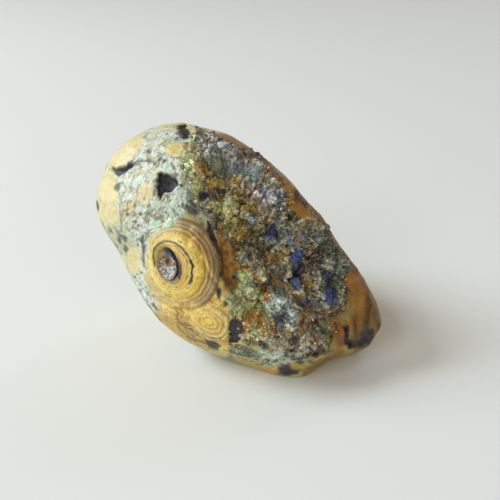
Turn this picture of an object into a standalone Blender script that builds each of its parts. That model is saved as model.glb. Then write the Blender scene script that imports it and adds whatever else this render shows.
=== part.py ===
"""An agate nodule about 5 cm long: water-worn and rounded all over, with an eye of concentric bands on its
left and one broken, crystal-covered face. It leans back on a small worn flat.

Millimetres inside the script, metres in the scene. The stone has a frame of its own, seen square on to its
outline: right, up the outline, and out of the front. A place on it is given as seen from its middle, as two
angles in degrees: the turn round the outline, counter-clockwise from the right, and the rise from the
outline's plane towards the front.
"""

import math

import bmesh
import bpy
import numpy as np
from mathutils import Matrix, Vector, noise

MM = 0.001

# The outline as (turn, distance from the middle), counter-clockwise.
OUTLINE = (
    (0, 16.2), (20, 13.8), (40, 12.9), (60, 13.9), (80, 15.4), (100, 18.8), (120, 22.5), (140, 24.8),
    (160, 24.0), (180, 19.4), (200, 17.6), (220, 16.9), (240, 16.6), (260, 17.0), (280, 19.2), (300, 23.2),
    (320, 25.0), (333, 25.9), (345, 21.0),
)
FRONT_DEPTH = 15.0
BACK_DEPTH = 13.0
FRONT_ROUNDNESS = 2.25
BACK_ROUNDNESS = 2.9
LEAN = 28
MIDDLE = (0.03, 1.16, 15.0)

# Broad flats worn on it, as (turn, rise, distance from the middle).
WORN_FLATS = (
    (294, 20, 21.6),
    (52, -38, 13.0),
    (150, -48, 15.8),
    (215, -20, 16.8),
    (345, -52, 14.9),
)
FLAT_SHARPNESS = 13

# The unevenness of the whole skin, as (height, width) of its swells and its ripples.
SWELLS = (0.5, 7.0)
RIPPLES = (0.16, 2.6)

# The broken face: the way it looks, its distance from the middle, and its step down from the worn skin.
BREAK_TURN = 25
BREAK_RISE = 69.5
BREAK_DISTANCE = 11.7
LEDGE = 0.55
BREAK_SWELLS = (0.9, 6.0)
BREAK_EDGE_WANDER = (0.6, 3.0)
# Its right end is worn smooth: (turn, rise, radius).
WORN_END = (332, 19, 6.5)

# The druse on the broken face: how far apart its crystals are, and how steep their sides.
CRYSTAL_SPACING = 2.3
CRYSTAL_SLOPE = 0.62

# Rounded lumps (and, with a height below zero, hollows): (turn, rise, radius, height).
LUMPS = (
    (196, 57, 7.5, 0.9),
    (249, 45, 3.6, 0.8),
    (225, 38, 2.4, 0.4),
    (149, 40, 3.4, 0.35),
    (122, 34, 3.0, 0.4),
    (138, 21, 4.6, 0.4),
    (165, 27, 4.0, 0.45),
    (12, 37, 3.4, 1.0),
    (46, 43, 4.4, 0.9),
    (351, 32, 3.6, 0.9),
    (308, 38, 5.0, 1.1),
    (283, 47, 2.4, 0.7),
    (272, 62, 3.4, 0.7),
    (97, 32, 3.6, 0.8),
    (234, 82, 2.6, -0.9),
    (333, 52, 3.0, -0.7),
    (72, 62, 3.0, -0.7),
    (322, 24, 3.2, -1.7),
    (344, 20, 2.8, -0.9),
    (60, -60, 6.0, 0.5),
    (190, -50, 5.5, 0.6),
    (300, -40, 5.0, 0.6),
)

# Pits with sharp rims: (name, turn, rise, half sizes along, across and deep, twist).
PITS = (
    ("upper_pit", 147, 25.7, (1.9, 0.9, 1.3), 12),
    ("triangle_pit", 138, 44, (1.6, 1.4, 1.2), 60),
    ("notch_pit", 114, 24, (1.3, 1.0, 1.1), 100),
    ("square_pit", 271.6, 46.5, (0.9, 1.8, 0.9), 0),
    ("wedge_pit", 147, 73, (0.8, 1.9, 0.9), 20),
    ("edge_pit", 163, 13.7, (0.7, 1.3, 0.7), 0),
    ("back_pit", 100, -48, (2.0, 1.3, 1.0), 35),
)

# The hollow in the middle of the eye, and the gap that the crystals in it keep to its wall.
EYE_TURN = 193
EYE_RISE = 53.6
EYE_HALF_SIZES = (1.75, 2.5, 2.3)
EYE_TWIST = 12
EYE_GAP = 0.3
EYE_CRUST = 0.9
EYE_CRYSTAL_SPACING = 0.75
EYE_CRYSTAL_SLOPE = 1.1
EYE_HOLE_PLACE = (-0.45, 0.7)
EYE_HOLE_RADIUS = 0.9

SPHERE_LEVEL = 7
STONE_TRIANGLES = 8300
EYE_TRIANGLES = 700


def way(turn, rise):
    turn = math.radians(turn)
    rise = math.radians(rise)
    return np.array((math.cos(rise) * math.cos(turn), math.cos(rise) * math.sin(turn), math.sin(rise)))


def smooth_step(low, high, values):
    t = np.clip((values - low) / (high - low), 0, 1)
    return t * t * (3 - 2 * t)


def outline_radius(turns):
    """A smooth closed curve through the outline's points, at turns in radians."""
    known = np.array(OUTLINE)
    turn_points = np.concatenate((known[-2:, 0] - 360, known[:, 0], known[:3, 0] + 360))
    radii = np.concatenate((known[-2:, 1], known[:, 1], known[:3, 1]))
    slopes = np.gradient(radii, turn_points)
    place = np.degrees(turns) % 360
    first = np.searchsorted(turn_points, place, side="right") - 1
    step = turn_points[first + 1] - turn_points[first]
    t = (place - turn_points[first]) / step
    return (
        (2 * t**3 - 3 * t**2 + 1) * radii[first]
        + (t**3 - 2 * t**2 + t) * slopes[first] * step
        + (3 * t**2 - 2 * t**3) * radii[first + 1]
        + (t**3 - t**2) * slopes[first + 1] * step
    )


def cut_by_plane(radii, ways, normal, distance, sharpness):
    """Brings the radii in to a plane, with its edges rounded the more the lower the sharpness."""
    facing = np.maximum(ways @ normal, 1e-3)
    return (radii**-sharpness + (distance / facing) ** -sharpness) ** (-1 / sharpness)


def worn_radius(ways):
    """The body as the water left it. ways holds unit vectors in the stone's frame."""
    turns = np.arctan2(ways[:, 1], ways[:, 0])
    flat = np.hypot(ways[:, 0], ways[:, 1])
    in_front = ways[:, 2] > 0
    depth = np.where(in_front, FRONT_DEPTH, BACK_DEPTH)
    roundness = np.where(in_front, FRONT_ROUNDNESS, BACK_ROUNDNESS)
    across = (flat / outline_radius(turns)) ** roundness
    through = (np.abs(ways[:, 2]) / depth) ** roundness
    radii = (across + through) ** (-1 / roundness)
    for turn, rise, distance in WORN_FLATS:
        radii = cut_by_plane(radii, ways, way(turn, rise), distance, FLAT_SHARPNESS)
    return radii


def uneven(points, height_and_width, shift=0):
    """Smooth random swells of that height and width, the same for the same shift."""
    height, width = height_and_width
    return height * np.array([noise.noise(Vector(point) / width + Vector((shift, 0, 0))) for point in points])


def broken_share(ways, worn):
    """0 on the worn skin and 1 on the broken face, with the broken face's own distance."""
    facing = np.maximum(ways @ way(BREAK_TURN, BREAK_RISE), 1e-3)
    plane = BREAK_DISTANCE / facing
    points = ways * worn[:, None]
    excess = worn - plane + uneven(points, BREAK_EDGE_WANDER, 5)
    broken = plane - LEDGE + uneven(points, BREAK_SWELLS, 11)
    return smooth_step(-0.3, 0.9, excess), np.minimum(broken, worn)


def crystal_heights(u, v, reach, spacing, slope, seed):
    """A druse over points of a plane: the highest of many small pyramids, each with flat sides."""
    random = np.random.default_rng(seed)
    sides = 5
    heights = np.full(u.shape, -np.inf)
    for row in np.arange(-reach, reach, spacing):
        for column in np.arange(-reach, reach, spacing):
            tip_u = column + random.uniform(-0.5, 0.5) * spacing
            tip_v = row + random.uniform(-0.5, 0.5) * spacing
            tip = random.uniform(0, 0.6) * spacing * slope
            twist = random.uniform(0, 2 * math.pi)
            lean = random.uniform(-0.25, 0.25, sides)
            near = (np.abs(u - tip_u) < 2 * spacing) & (np.abs(v - tip_v) < 2 * spacing)
            fall = np.full(near.sum(), -np.inf)
            for side in range(sides):
                turn = twist + 2 * math.pi * side / sides
                along = (u[near] - tip_u) * math.cos(turn) + (v[near] - tip_v) * math.sin(turn)
                fall = np.maximum(fall, along * (1 + lean[side]))
            heights[near] = np.maximum(heights[near], tip - slope * fall)
    return heights


def nearness(points, turn, rise, radius):
    """1 at the point of the skin in that direction, falling to 0 at radius from it."""
    out = way(turn, rise)
    middle = out * float(worn_radius(out[None, :])[0])
    toward = points @ out
    aside = np.linalg.norm(points - toward[:, None] * out, axis=1)
    inward = np.maximum(np.linalg.norm(middle) - toward - radius, 0)
    return np.clip(1 - (aside**2 + inward**2) / radius**2, 0, 1)


def stone_radius(ways):
    worn = worn_radius(ways)
    share, broken = broken_share(ways, worn)
    radii = worn + (broken - worn) * share
    points = ways * radii[:, None]

    relief = uneven(points, SWELLS) + uneven(points, RIPPLES, 9)
    for turn, rise, radius, height in LUMPS:
        relief += height * nearness(points, turn, rise, radius) ** 1.5

    face_out = Vector(way(BREAK_TURN, BREAK_RISE))
    face_right = Vector((0, 1, 0)).cross(face_out).normalized()
    face_up = face_out.cross(face_right)
    u = points @ np.array(face_right)
    v = points @ np.array(face_up)
    druse = crystal_heights(u, v, 30, CRYSTAL_SPACING, CRYSTAL_SLOPE, seed=5)
    rough = share * (1 - smooth_step(0.1, 0.5, nearness(points, *WORN_END)))
    relief += rough * (druse - CRYSTAL_SPACING * CRYSTAL_SLOPE * 0.35)
    return radii + relief


def stone_frame():
    """The stone's frame in the world: the outline's plane leans back, with its middle at MIDDLE."""
    lean = math.radians(LEAN)
    up = Vector((0, math.sin(lean), math.cos(lean)))
    front = Vector((0, -math.cos(lean), math.sin(lean)))
    turned = Matrix((Vector((1, 0, 0)), up, front)).transposed().to_4x4()
    return Matrix.Scale(MM, 4) @ Matrix.Translation(MIDDLE) @ turned


def place_on_stone(turn, rise, twist=0):
    """A frame on the skin at a place: Z out of the stone, and X across it, turned by twist."""
    out = Vector(way(turn, rise))
    middle = out * float(stone_radius(np.array([out]))[0])
    across = Vector((0, 1, 0)).cross(out).normalized()
    axes = Matrix((across, out.cross(across), out)).transposed().to_4x4()
    return stone_frame() @ Matrix.Translation(middle) @ axes @ Matrix.Rotation(math.radians(twist), 4, "Z")


def add_object(name, work, collection, material=None):
    mesh = bpy.data.meshes.new(name)
    work.to_mesh(mesh)
    work.free()
    obj = bpy.data.objects.new(name, mesh)
    collection.objects.link(obj)
    if material:
        mesh.materials.append(material)
    return obj


def make_material(name, colour, roughness):
    material = bpy.data.materials.new(name)
    material.use_nodes = True
    shader = material.node_tree.nodes["Principled BSDF"]
    shader.inputs["Base Color"].default_value = (*colour, 1)
    shader.inputs["Roughness"].default_value = roughness
    shader.inputs["Metallic"].default_value = 0
    return material


def make_cutter(name, frame, half_sizes, collection, detail, jitter):
    """A ball of the given half sizes, roughened by jitter, that cuts a pit."""
    work = bmesh.new()
    bmesh.ops.create_icosphere(work, subdivisions=detail, radius=1)
    random = np.random.default_rng(len(name))
    for vertex in work.verts:
        vertex.co *= 1 + random.uniform(-jitter, jitter)
        vertex.co = Vector(c * s for c, s in zip(vertex.co, half_sizes))
    bmesh.ops.transform(work, matrix=frame, verts=work.verts)
    cutter = add_object(name, work, collection)
    cutter.hide_render = True
    cutter.display_type = "WIRE"
    return cutter


def keep_triangles(obj, count):
    """Takes small faces out where the surface is nearly flat, until about count triangles are left."""
    fewer = obj.modifiers.new("fewer_faces", "DECIMATE")
    fewer.ratio = count / len(obj.data.polygons)


def make_floor_cutter(collection):
    """A block whose top is the floor: it cuts the flat that the stone rests on."""
    size = 80.0
    work = bmesh.new()
    bmesh.ops.create_cube(work, size=size * MM)
    bmesh.ops.translate(work, vec=(0, 0, -size / 2 * MM), verts=work.verts)
    cutter = add_object("floor_cutter", work, collection)
    cutter.hide_render = True
    cutter.display_type = "WIRE"
    return cutter


def make_stone(parts, cutters, material):
    work = bmesh.new()
    bmesh.ops.create_icosphere(work, subdivisions=SPHERE_LEVEL, radius=1)
    ways = np.array([vertex.co.normalized() for vertex in work.verts])
    for vertex, direction, radius in zip(work.verts, ways, stone_radius(ways)):
        vertex.co = Vector(direction) * radius
    bmesh.ops.transform(work, matrix=stone_frame(), verts=work.verts)
    stone = add_object("stone", work, parts, material)
    keep_triangles(stone, STONE_TRIANGLES)

    tools = [make_floor_cutter(cutters)]
    for name, turn, rise, half_sizes, twist in PITS:
        tools.append(make_cutter(name, place_on_stone(turn, rise, twist), half_sizes, cutters, 2, 0.2))
    tools.append(make_cutter("eye_hollow", eye_frame(), EYE_HALF_SIZES, cutters, 3, 0))
    for tool in tools:
        cut = stone.modifiers.new(tool.name, "BOOLEAN")
        cut.object = tool
        cut.operation = "DIFFERENCE"
        cut.solver = "EXACT"


def eye_frame():
    return place_on_stone(EYE_TURN, EYE_RISE, EYE_TWIST)


def make_eye_crystals(parts, material):
    """The crust in the eye: it lines the hollow, thin at the rim, and small points stand up from it."""
    work = bmesh.new()
    bmesh.ops.create_icosphere(work, subdivisions=4, radius=1)
    half = np.array(EYE_HALF_SIZES) - EYE_GAP
    ball = np.array([vertex.co[:] for vertex in work.verts])
    points = ball * half
    x, y = points[:, 0], points[:, 1]
    inside = 1 - ball[:, 0] ** 2 - ball[:, 1] ** 2
    druse = crystal_heights(x, y, 4, EYE_CRYSTAL_SPACING, EYE_CRYSTAL_SLOPE, seed=3)
    hole = np.clip(1 - np.hypot(x - EYE_HOLE_PLACE[0], y - EYE_HOLE_PLACE[1]) / EYE_HOLE_RADIUS, 0, 1)
    thickness = np.maximum(EYE_CRUST * (1 - hole) + druse, EYE_CRUST / 4) * inside
    wall = -half[2] * np.sqrt(np.clip(inside, 0, 1))
    points[:, 2] = np.where(ball[:, 2] > 0, wall + thickness, points[:, 2])
    for vertex, point in zip(work.verts, points):
        vertex.co = point
    bmesh.ops.transform(work, matrix=eye_frame(), verts=work.verts)
    keep_triangles(add_object("eye_crystals", work, parts, material), EYE_TRIANGLES)


def main():
    for obj in list(bpy.data.objects):
        bpy.data.objects.remove(obj)
    parts = bpy.data.collections.new("agate")
    cutters = bpy.data.collections.new("cutters")
    bpy.context.scene.collection.children.link(parts)
    bpy.context.scene.collection.children.link(cutters)
    make_stone(parts, cutters, make_material("agate_stone", (0.42, 0.33, 0.17), 0.45))
    make_eye_crystals(parts, make_material("quartz_crystals", (0.75, 0.76, 0.72), 0.15))


main()
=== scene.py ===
"""The looks of a water-worn agate nodule: a banded eye, small orbs and pits on its worn skin, and one broken
face covered with a sugary quartz druse. Lengths are millimetres until a mesh is made, which is in metres.
"""

import itertools
import math

import bpy
import numpy as np
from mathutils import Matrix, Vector
from mathutils.bvhtree import BVHTree


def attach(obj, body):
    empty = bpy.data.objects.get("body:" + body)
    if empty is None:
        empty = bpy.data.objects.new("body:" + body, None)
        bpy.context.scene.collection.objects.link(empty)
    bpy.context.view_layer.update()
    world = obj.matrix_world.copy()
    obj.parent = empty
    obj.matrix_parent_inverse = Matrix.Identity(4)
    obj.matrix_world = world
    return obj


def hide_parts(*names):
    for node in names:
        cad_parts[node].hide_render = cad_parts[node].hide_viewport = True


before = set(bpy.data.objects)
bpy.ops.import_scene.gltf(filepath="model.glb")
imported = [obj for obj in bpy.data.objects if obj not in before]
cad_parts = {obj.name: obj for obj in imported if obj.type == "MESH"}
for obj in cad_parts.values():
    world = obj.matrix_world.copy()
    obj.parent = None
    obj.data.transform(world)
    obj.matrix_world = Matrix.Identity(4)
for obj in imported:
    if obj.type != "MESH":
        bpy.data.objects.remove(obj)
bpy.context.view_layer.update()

# The view.
# The stone is seen from a little above by a camera close in front of it. The places of its markings are given
# as pixels of this view, which is 500 wide, and are laid on whatever part of the skin shows there.
MM = 0.001
VIEW_SIZE = 500
LENS = 50
SENSOR = 36
PIXELS_PER_TANGENT = VIEW_SIZE * LENS / SENSOR
CAMERA_PITCH = math.radians(28)
MIDDLE = Vector((0.03, 1.16, 15.0))
MIDDLE_DEPTH = 111.0
MIDDLE_ASIDE = (-1.92, 0.32)

view_right = Vector((1, 0, 0))
view_up = Vector((0, math.sin(CAMERA_PITCH), math.cos(CAMERA_PITCH)))
view_out = Vector((0, -math.cos(CAMERA_PITCH), math.sin(CAMERA_PITCH)))
eye_point = MIDDLE + view_out * MIDDLE_DEPTH - view_right * MIDDLE_ASIDE[0] - view_up * MIDDLE_ASIDE[1]

camera_data = bpy.data.cameras.new("camera")
camera_data.lens = LENS
camera_data.sensor_width = SENSOR
camera_data.clip_start = 0.005
camera = bpy.data.objects.new("camera", camera_data)
camera.location = eye_point * MM
camera.rotation_euler = (math.pi / 2 - CAMERA_PITCH, 0, 0)
bpy.context.scene.collection.objects.link(camera)
bpy.context.scene.camera = camera


# The worn skin.
# The whole nodule, rounded by water until it took a dull polish. Its fine mesh follows the solid, with the
# solid's flat facets smoothed away, and is closest where the markings are.
SKIN_LEVEL = 7
TOWARD_FRONT = 0.5
SMOOTH_ROUNDS = 26
EYE_PIXEL = (170, 267)
FULLER = (
    # turn in the view from its right, rise toward the viewer and reach in degrees, and how much fuller in mm
    (325, -6, 12, 1.7),
    (323, 3, 7, 1.0),
    (343, -3, 9, -0.85),
    (338, -3, 4, -0.4),
    (14, -2, 4, 0.55),
    (61, -2, 5, 0.35),
    (296, 12, 11, 1.4),
    (178, 5, 14, -0.4),
    (146, 5, 14, -0.45),
    (112, 5, 12, -0.45),
)
SHARP_ROUNDS = 5
REACH = 60.0
# A dip of the solid is a pit where it lies this much below its surroundings, in mm.
PIT_DIP = 0.12
DIP_ROUNDS = 60
LEVEL_ROUNDS = 160
AROUND_EYE = 24


def view_pixels(points):
    """Where points in mm show in the view."""
    offset = points - np.array(eye_point)
    depth = -offset @ np.array(view_out)
    across = offset @ np.array(view_right) / depth
    down = -(offset @ np.array(view_up)) / depth
    return VIEW_SIZE / 2 + PIXELS_PER_TANGENT * across, VIEW_SIZE / 2 + PIXELS_PER_TANGENT * down


def smooth_step(low, high, values):
    t = np.clip((values - low) / (high - low), 0, 1)
    return t * t * (3 - 2 * t)


def swells(points, width, seed):
    """Smooth random swells about as wide as width, from -1 to 1."""
    size = 32
    lattice = np.random.default_rng(seed).uniform(-1, 1, (size, size, size))
    place = points / width
    low = np.floor(place).astype(int)
    t = place - low
    t = t * t * (3 - 2 * t)
    total = np.zeros(len(points))
    for corner in itertools.product((0, 1), repeat=3):
        weight = np.prod(np.where(corner, t, 1 - t), axis=1)
        i, j, k = ((low + corner) % size).T
        total += weight * lattice[i, j, k]
    return total


def tree_of(node):
    """The solid of a CAD node for ray casts, in mm."""
    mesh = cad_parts[node].data
    corners = [vertex.co / MM for vertex in mesh.vertices]
    return BVHTree.FromPolygons(corners, [face.vertices[:] for face in mesh.polygons])


def fine_ball(level):
    """A ball of even quads: a cube cut finely and blown up."""
    bpy.ops.mesh.primitive_cube_add(size=2)
    cube = bpy.context.object
    finer = cube.modifiers.new("finer", "SUBSURF")
    finer.subdivision_type = "SIMPLE"
    finer.levels = level
    finer.render_levels = level
    graph = bpy.context.evaluated_depsgraph_get()
    mesh = bpy.data.meshes.new_from_object(cube.evaluated_get(graph))
    bpy.data.objects.remove(cube)
    points = np.zeros(len(mesh.vertices) * 3)
    mesh.vertices.foreach_get("co", points)
    points = np.tan(points.reshape(-1, 3) * math.pi / 4)
    return mesh, points / np.linalg.norm(points, axis=1)[:, None]


skin_mesh, ways = fine_ball(SKIN_LEVEL)
skin_mesh.name = "agate_skin"
ways = ways + TOWARD_FRONT * np.array(view_out)
ways /= np.linalg.norm(ways, axis=1)[:, None]

solid = tree_of("stone")
radii = np.zeros(len(ways))
for index, way in enumerate(ways):
    way = Vector(way)
    hit = solid.ray_cast(MIDDLE + way * REACH, -way)
    radii[index] = (hit[0] - MIDDLE).length

edge_ends = np.zeros(len(skin_mesh.edges) * 2, dtype=np.int32)
skin_mesh.edges.foreach_get("vertices", edge_ends)
edge_a, edge_b = edge_ends.reshape(-1, 2).T
neighbours = np.bincount(edge_a, minlength=len(ways)) + np.bincount(edge_b, minlength=len(ways))


def smoothed(values, rounds):
    """Values on the skin, averaged with their neighbours that many times."""
    for _ in range(rounds):
        near = np.bincount(edge_a, values[edge_b], len(ways)) + np.bincount(edge_b, values[edge_a], len(ways))
        values = 0.5 * values + 0.5 * near / neighbours
    return values


def skin_points(at_radii):
    points = np.array(MIDDLE) + ways * at_radii[:, None]
    points[:, 2] = np.maximum(points[:, 2], 0)
    return points


def set_points(mesh, points):
    mesh.vertices.foreach_set("co", (points * MM).astype(np.float32).ravel())
    mesh.update()


def vertex_normals(mesh):
    normals = np.zeros(len(mesh.vertices) * 3, dtype=np.float32)
    mesh.vertex_normals.foreach_get("vector", normals)
    return normals.reshape(-1, 3)


body_radii = smoothed(radii, SMOOTH_ROUNDS)
# The body runs level over the solid's pits, which are sunk again below with steep walls. The eye stays open.
for turn, rise, reach, extra in FULLER:
    turn = math.radians(turn)
    rise = math.radians(rise)
    in_view = math.cos(turn) * view_right + math.sin(turn) * view_up
    toward = math.cos(rise) * in_view + math.sin(rise) * view_out
    apart = np.degrees(np.arccos(np.clip(ways @ np.array(toward), -1, 1)))
    radii += extra * np.exp(-((apart / reach) ** 2))
    body_radii += extra * np.exp(-((apart / reach) ** 2))
from_eye = np.array(view_pixels(skin_points(radii))) - [[EYE_PIXEL[0]], [EYE_PIXEL[1]]]
around_eye = np.hypot(*from_eye) < AROUND_EYE
dips = (radii < smoothed(radii, DIP_ROUNDS) - PIT_DIP) & ~around_eye
level_share = (smoothed(dips.astype(float), 10) < 0.02).astype(float)
level = smoothed(radii * level_share, LEVEL_ROUNDS) / np.maximum(smoothed(level_share, LEVEL_ROUNDS), 1e-6)
near_dips = smoothed((smoothed(dips.astype(float), 14) > 0.02).astype(float), 8) * ~around_eye
body_radii = body_radii * (1 - near_dips) + level * near_dips
body_points = skin_points(body_radii)
set_points(skin_mesh, body_points)
body_normals = vertex_normals(skin_mesh)
to_eye = np.array(eye_point) - body_points
to_eye /= np.linalg.norm(to_eye, axis=1)[:, None]
facing = smooth_step(0.0, 0.18, np.sum(body_normals * to_eye, axis=1))
pixel_u, pixel_v = view_pixels(body_points)

# Edges of markings wander a little, by tenths of a millimetre.
wander_u = 0.6 * swells(body_points, 1.3, 1) + 0.4 * swells(body_points, 0.45, 2)
wander_v = 0.6 * swells(body_points, 1.3, 3) + 0.4 * swells(body_points, 0.45, 4)


def oval(u, v, half_width, half_height, tilt=0, wander=0.0):
    """Distance from the middle of an oval seen at pixel (u, v), 1 on its edge. tilt turns it clockwise."""
    turn = math.radians(tilt)
    across = pixel_u - u + wander * wander_u
    down = pixel_v - v + wander * wander_v
    along = across * math.cos(turn) + down * math.sin(turn)
    aside = -across * math.sin(turn) + down * math.cos(turn)
    return np.hypot(along / half_width, aside / half_height)


def spot(u, v, half_width, half_height, tilt=0, soft=0.2, wander=2.0):
    """1 inside an oval marking and 0 outside, with an edge that is soft for that share of its size."""
    return facing * (1 - smooth_step(1 - soft, 1 + soft, oval(u, v, half_width, half_height, tilt, wander)))


def from_line(places, wander=1.0):
    """Distance in pixels from a line drawn through places in the view."""
    u = pixel_u + wander * wander_u
    v = pixel_v + wander * wander_v
    nearest = np.full(len(u), np.inf)
    for (u0, v0), (u1, v1) in zip(places[:-1], places[1:]):
        length = math.hypot(u1 - u0, v1 - v0)
        along = ((u - u0) * (u1 - u0) + (v - v0) * (v1 - v0)) / length**2
        along = np.clip(along, 0, 1)
        nearest = np.minimum(nearest, np.hypot(u - u0 - along * (u1 - u0), v - v0 - along * (v1 - v0)))
    return nearest


def stroke(places, width, soft=0.7, wander=1.0):
    """1 along a line of that width in pixels."""
    return facing * (1 - smooth_step(width / 2 - soft, width / 2 + soft, from_line(places, wander)))


def inside(places, soft=1.5, wander=2.0):
    """1 inside the closed shape drawn through places in the view."""
    u = pixel_u + wander * wander_u
    v = pixel_v + wander * wander_v
    within = np.zeros(len(u), dtype=bool)
    for (u0, v0), (u1, v1) in zip(places, places[1:] + places[:1]):
        if v0 != v1:
            crossing = u0 + (v - v0) * (u1 - u0) / (v1 - v0)
            within ^= ((v0 > v) != (v1 > v)) & (u < crossing)
    away = from_line(places + places[:1], wander)
    return facing * smooth_step(-soft, soft, np.where(within, away, -away))


# The broken face.
# A piece broke off here, and quartz has grown over the break in rounded lumps, crusted with tiny points.
# The lumps and the seams between them are raised on the skin's own mesh.
# Outlines and lines are places (u, v) in the view.
BREAK_OUTLINE = [
    (194, 130), (186, 148), (184, 170), (187, 194), (198, 211), (212, 222), (226, 238), (238, 256),
    (236, 284), (226, 300), (240, 318), (246, 344), (280, 348), (306, 354), (330, 346), (340, 324),
    (342, 306), (347, 292), (346, 278), (348, 264), (341, 251), (332, 240), (324, 226), (306, 203),
    (286, 182), (266, 160), (246, 148), (218, 134),
]
RIM_LINE = [
    (206, 127), (232, 138), (256, 151), (272, 166), (290, 186), (309, 204), (328, 226), (342, 248),
    (353, 264), (360, 276), (369, 292), (378, 312),
]
BARE_PATCH_OUTLINE = [(288, 208), (298, 200), (314, 218), (314, 228), (300, 216)]
GREEN_SIDE_OUTLINE = [
    (236, 262), (250, 266), (262, 278), (266, 300), (256, 318), (236, 316), (226, 298), (238, 282),
]
# Spots are the middle (u, v), the half width and half height in pixels, and the tilt in degrees.
WORN_END = (364, 318, 19, 36, 0)
GLASSY_SPOTS = (
    (217, 193, 10, 5, 0), (204, 196, 5, 6, 0), (296.5, 257.5, 8, 5, -38), (300, 274, 8.5, 14, -10),
    (329, 288, 6.5, 16, -12), (281, 320, 6, 6, 0), (272, 233, 7, 7, 0), (240, 156, 4, 5, 0),
    (303, 303, 8, 4, 15),
)
BIG_LUMP = 3.2
SMALL_LUMP = 1.5
COARSE_CRYSTAL = 1.5
FINE_CRYSTAL = 0.75

druse = inside(BREAK_OUTLINE, soft=5, wander=9)
worn_end = spot(*WORN_END, 0.3)
bare_patch = inside(BARE_PATCH_OUTLINE, 1.5, 3)
druse *= (1 - worn_end) * (1 - bare_patch) * (1 - stroke(RIM_LINE, 8, 2, 4))
front_right = (body_points - np.array(MIDDLE)) @ np.array(view_right)
front_up = (body_points - np.array(MIDDLE)) @ np.array(view_up)


def lumps(spacing, seed):
    """Rounded lumps over the front: how high each stands, how near a seam a point is, a number per lump."""
    random = np.random.default_rng(seed)
    across = front_right + 0.16 * spacing * swells(body_points, 0.5 * spacing, seed + 1)
    up = front_up + 0.16 * spacing * swells(body_points, 0.5 * spacing, seed + 2)
    nearest = np.full(len(across), 9.0 * spacing)
    second = nearest.copy()
    which = np.zeros(len(across), dtype=int)
    columns = np.arange(across.min() - spacing, across.max() + spacing, spacing)
    rows = np.arange(up.min() - spacing, up.max() + spacing, spacing)
    for number, (column, row) in enumerate(itertools.product(columns, rows)):
        middle_across = column + random.uniform(-0.5, 0.5) * spacing
        middle_up = row + random.uniform(-0.5, 0.5) * spacing
        reach = 1.7 * spacing
        near = np.flatnonzero((np.abs(across - middle_across) < reach) & (np.abs(up - middle_up) < reach))
        distance = np.hypot(across[near] - middle_across, up[near] - middle_up)
        closer = distance < nearest[near]
        second[near] = np.where(closer, nearest[near], np.minimum(second[near], distance))
        nearest[near] = np.minimum(nearest[near], distance)
        which[near[closer]] = number
    number_of = random.uniform(0, 1, len(columns) * len(rows))[which]
    dome = (0.3 + 0.7 * number_of) * np.sqrt(np.clip(1 - (nearest / (0.8 * spacing)) ** 2, 0, 1))
    seam = 1 - smooth_step(0.03, 0.2, (second - nearest) / spacing)
    return dome, seam, number_of


def crystal_faces(spacing, slope, seed):
    """Crystal points over the break: relief, a number per crystal, ridges between sides, and valleys."""
    random = np.random.default_rng(seed)
    on_break = np.flatnonzero(druse > 0.01)
    across = front_right[on_break]
    up = front_up[on_break]
    heights = np.full(len(on_break), -9.0)
    lower = heights.copy()
    from_edge = np.ones(len(on_break))
    numbers = np.zeros(len(on_break))
    columns = np.arange(across.min() - spacing, across.max() + spacing, spacing)
    rows = np.arange(up.min() - spacing, up.max() + spacing, spacing)
    for column, row in itertools.product(columns, rows):
        tip_across = column + random.uniform(-0.5, 0.5) * spacing
        tip_up = row + random.uniform(-0.5, 0.5) * spacing
        tip = random.uniform(0, 0.8) * spacing * slope
        sides = random.uniform(0, 2 * math.pi) + 2 * math.pi * np.arange(5) / 5
        steep = random.uniform(0.6, 1.4, 5)
        reach = 1.8 * spacing
        near = np.flatnonzero((np.abs(across - tip_across) < reach) & (np.abs(up - tip_up) < reach))
        along = np.outer(across[near] - tip_across, np.cos(sides))
        along += np.outer(up[near] - tip_up, np.sin(sides))
        sloping = np.sort(along * steep, axis=1)
        height = tip - slope * sloping[:, -1]
        higher = height > heights[near]
        numbers[near] = np.where(higher, random.uniform(), numbers[near])
        from_edge[near] = np.where(higher, sloping[:, -1] - sloping[:, -2], from_edge[near])
        lower[near] = np.maximum(lower[near], np.minimum(height, heights[near]))
        heights[near] = np.maximum(heights[near], height)
    on_skin = np.zeros((4, len(druse)))
    on_skin[0, on_break] = heights - heights.mean()
    on_skin[1, on_break] = numbers
    on_skin[2, on_break] = 1 - smooth_step(0.0, 0.11 * spacing, from_edge)
    on_skin[3, on_break] = 1 - smooth_step(0.0, 0.16 * spacing, heights - lower)
    return on_skin


big_domes, big_seams, _ = lumps(BIG_LUMP, 11)
small_domes, small_seams, small_numbers = lumps(SMALL_LUMP, 15)
coarse_points, coarse_numbers, coarse_ridges, coarse_valleys = crystal_faces(COARSE_CRYSTAL, 0.9, 17)
fine_points, fine_numbers, fine_ridges, fine_valleys = crystal_faces(FINE_CRYSTAL, 0.95, 18)
lump_relief = 0.38 * big_domes - 0.2 * big_seams + 0.22 * small_domes - 0.2
lump_relief += 0.5 * coarse_points + 0.5 * fine_points
# Beside the eye the lumps are low and green, and their points are all fine.
green_cells = inside(GREEN_SIDE_OUTLINE, 3, 4)
lump_relief -= 0.4 * green_cells * coarse_points
# In a few places the quartz is dark and glassy and has no grains on it.
glassy = np.zeros(len(ways))
for glassy_spot in GLASSY_SPOTS:
    glassy = np.maximum(glassy, spot(*glassy_spot, 0.3, 3))
lump_relief -= 0.35 * glassy * fine_points

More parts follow.
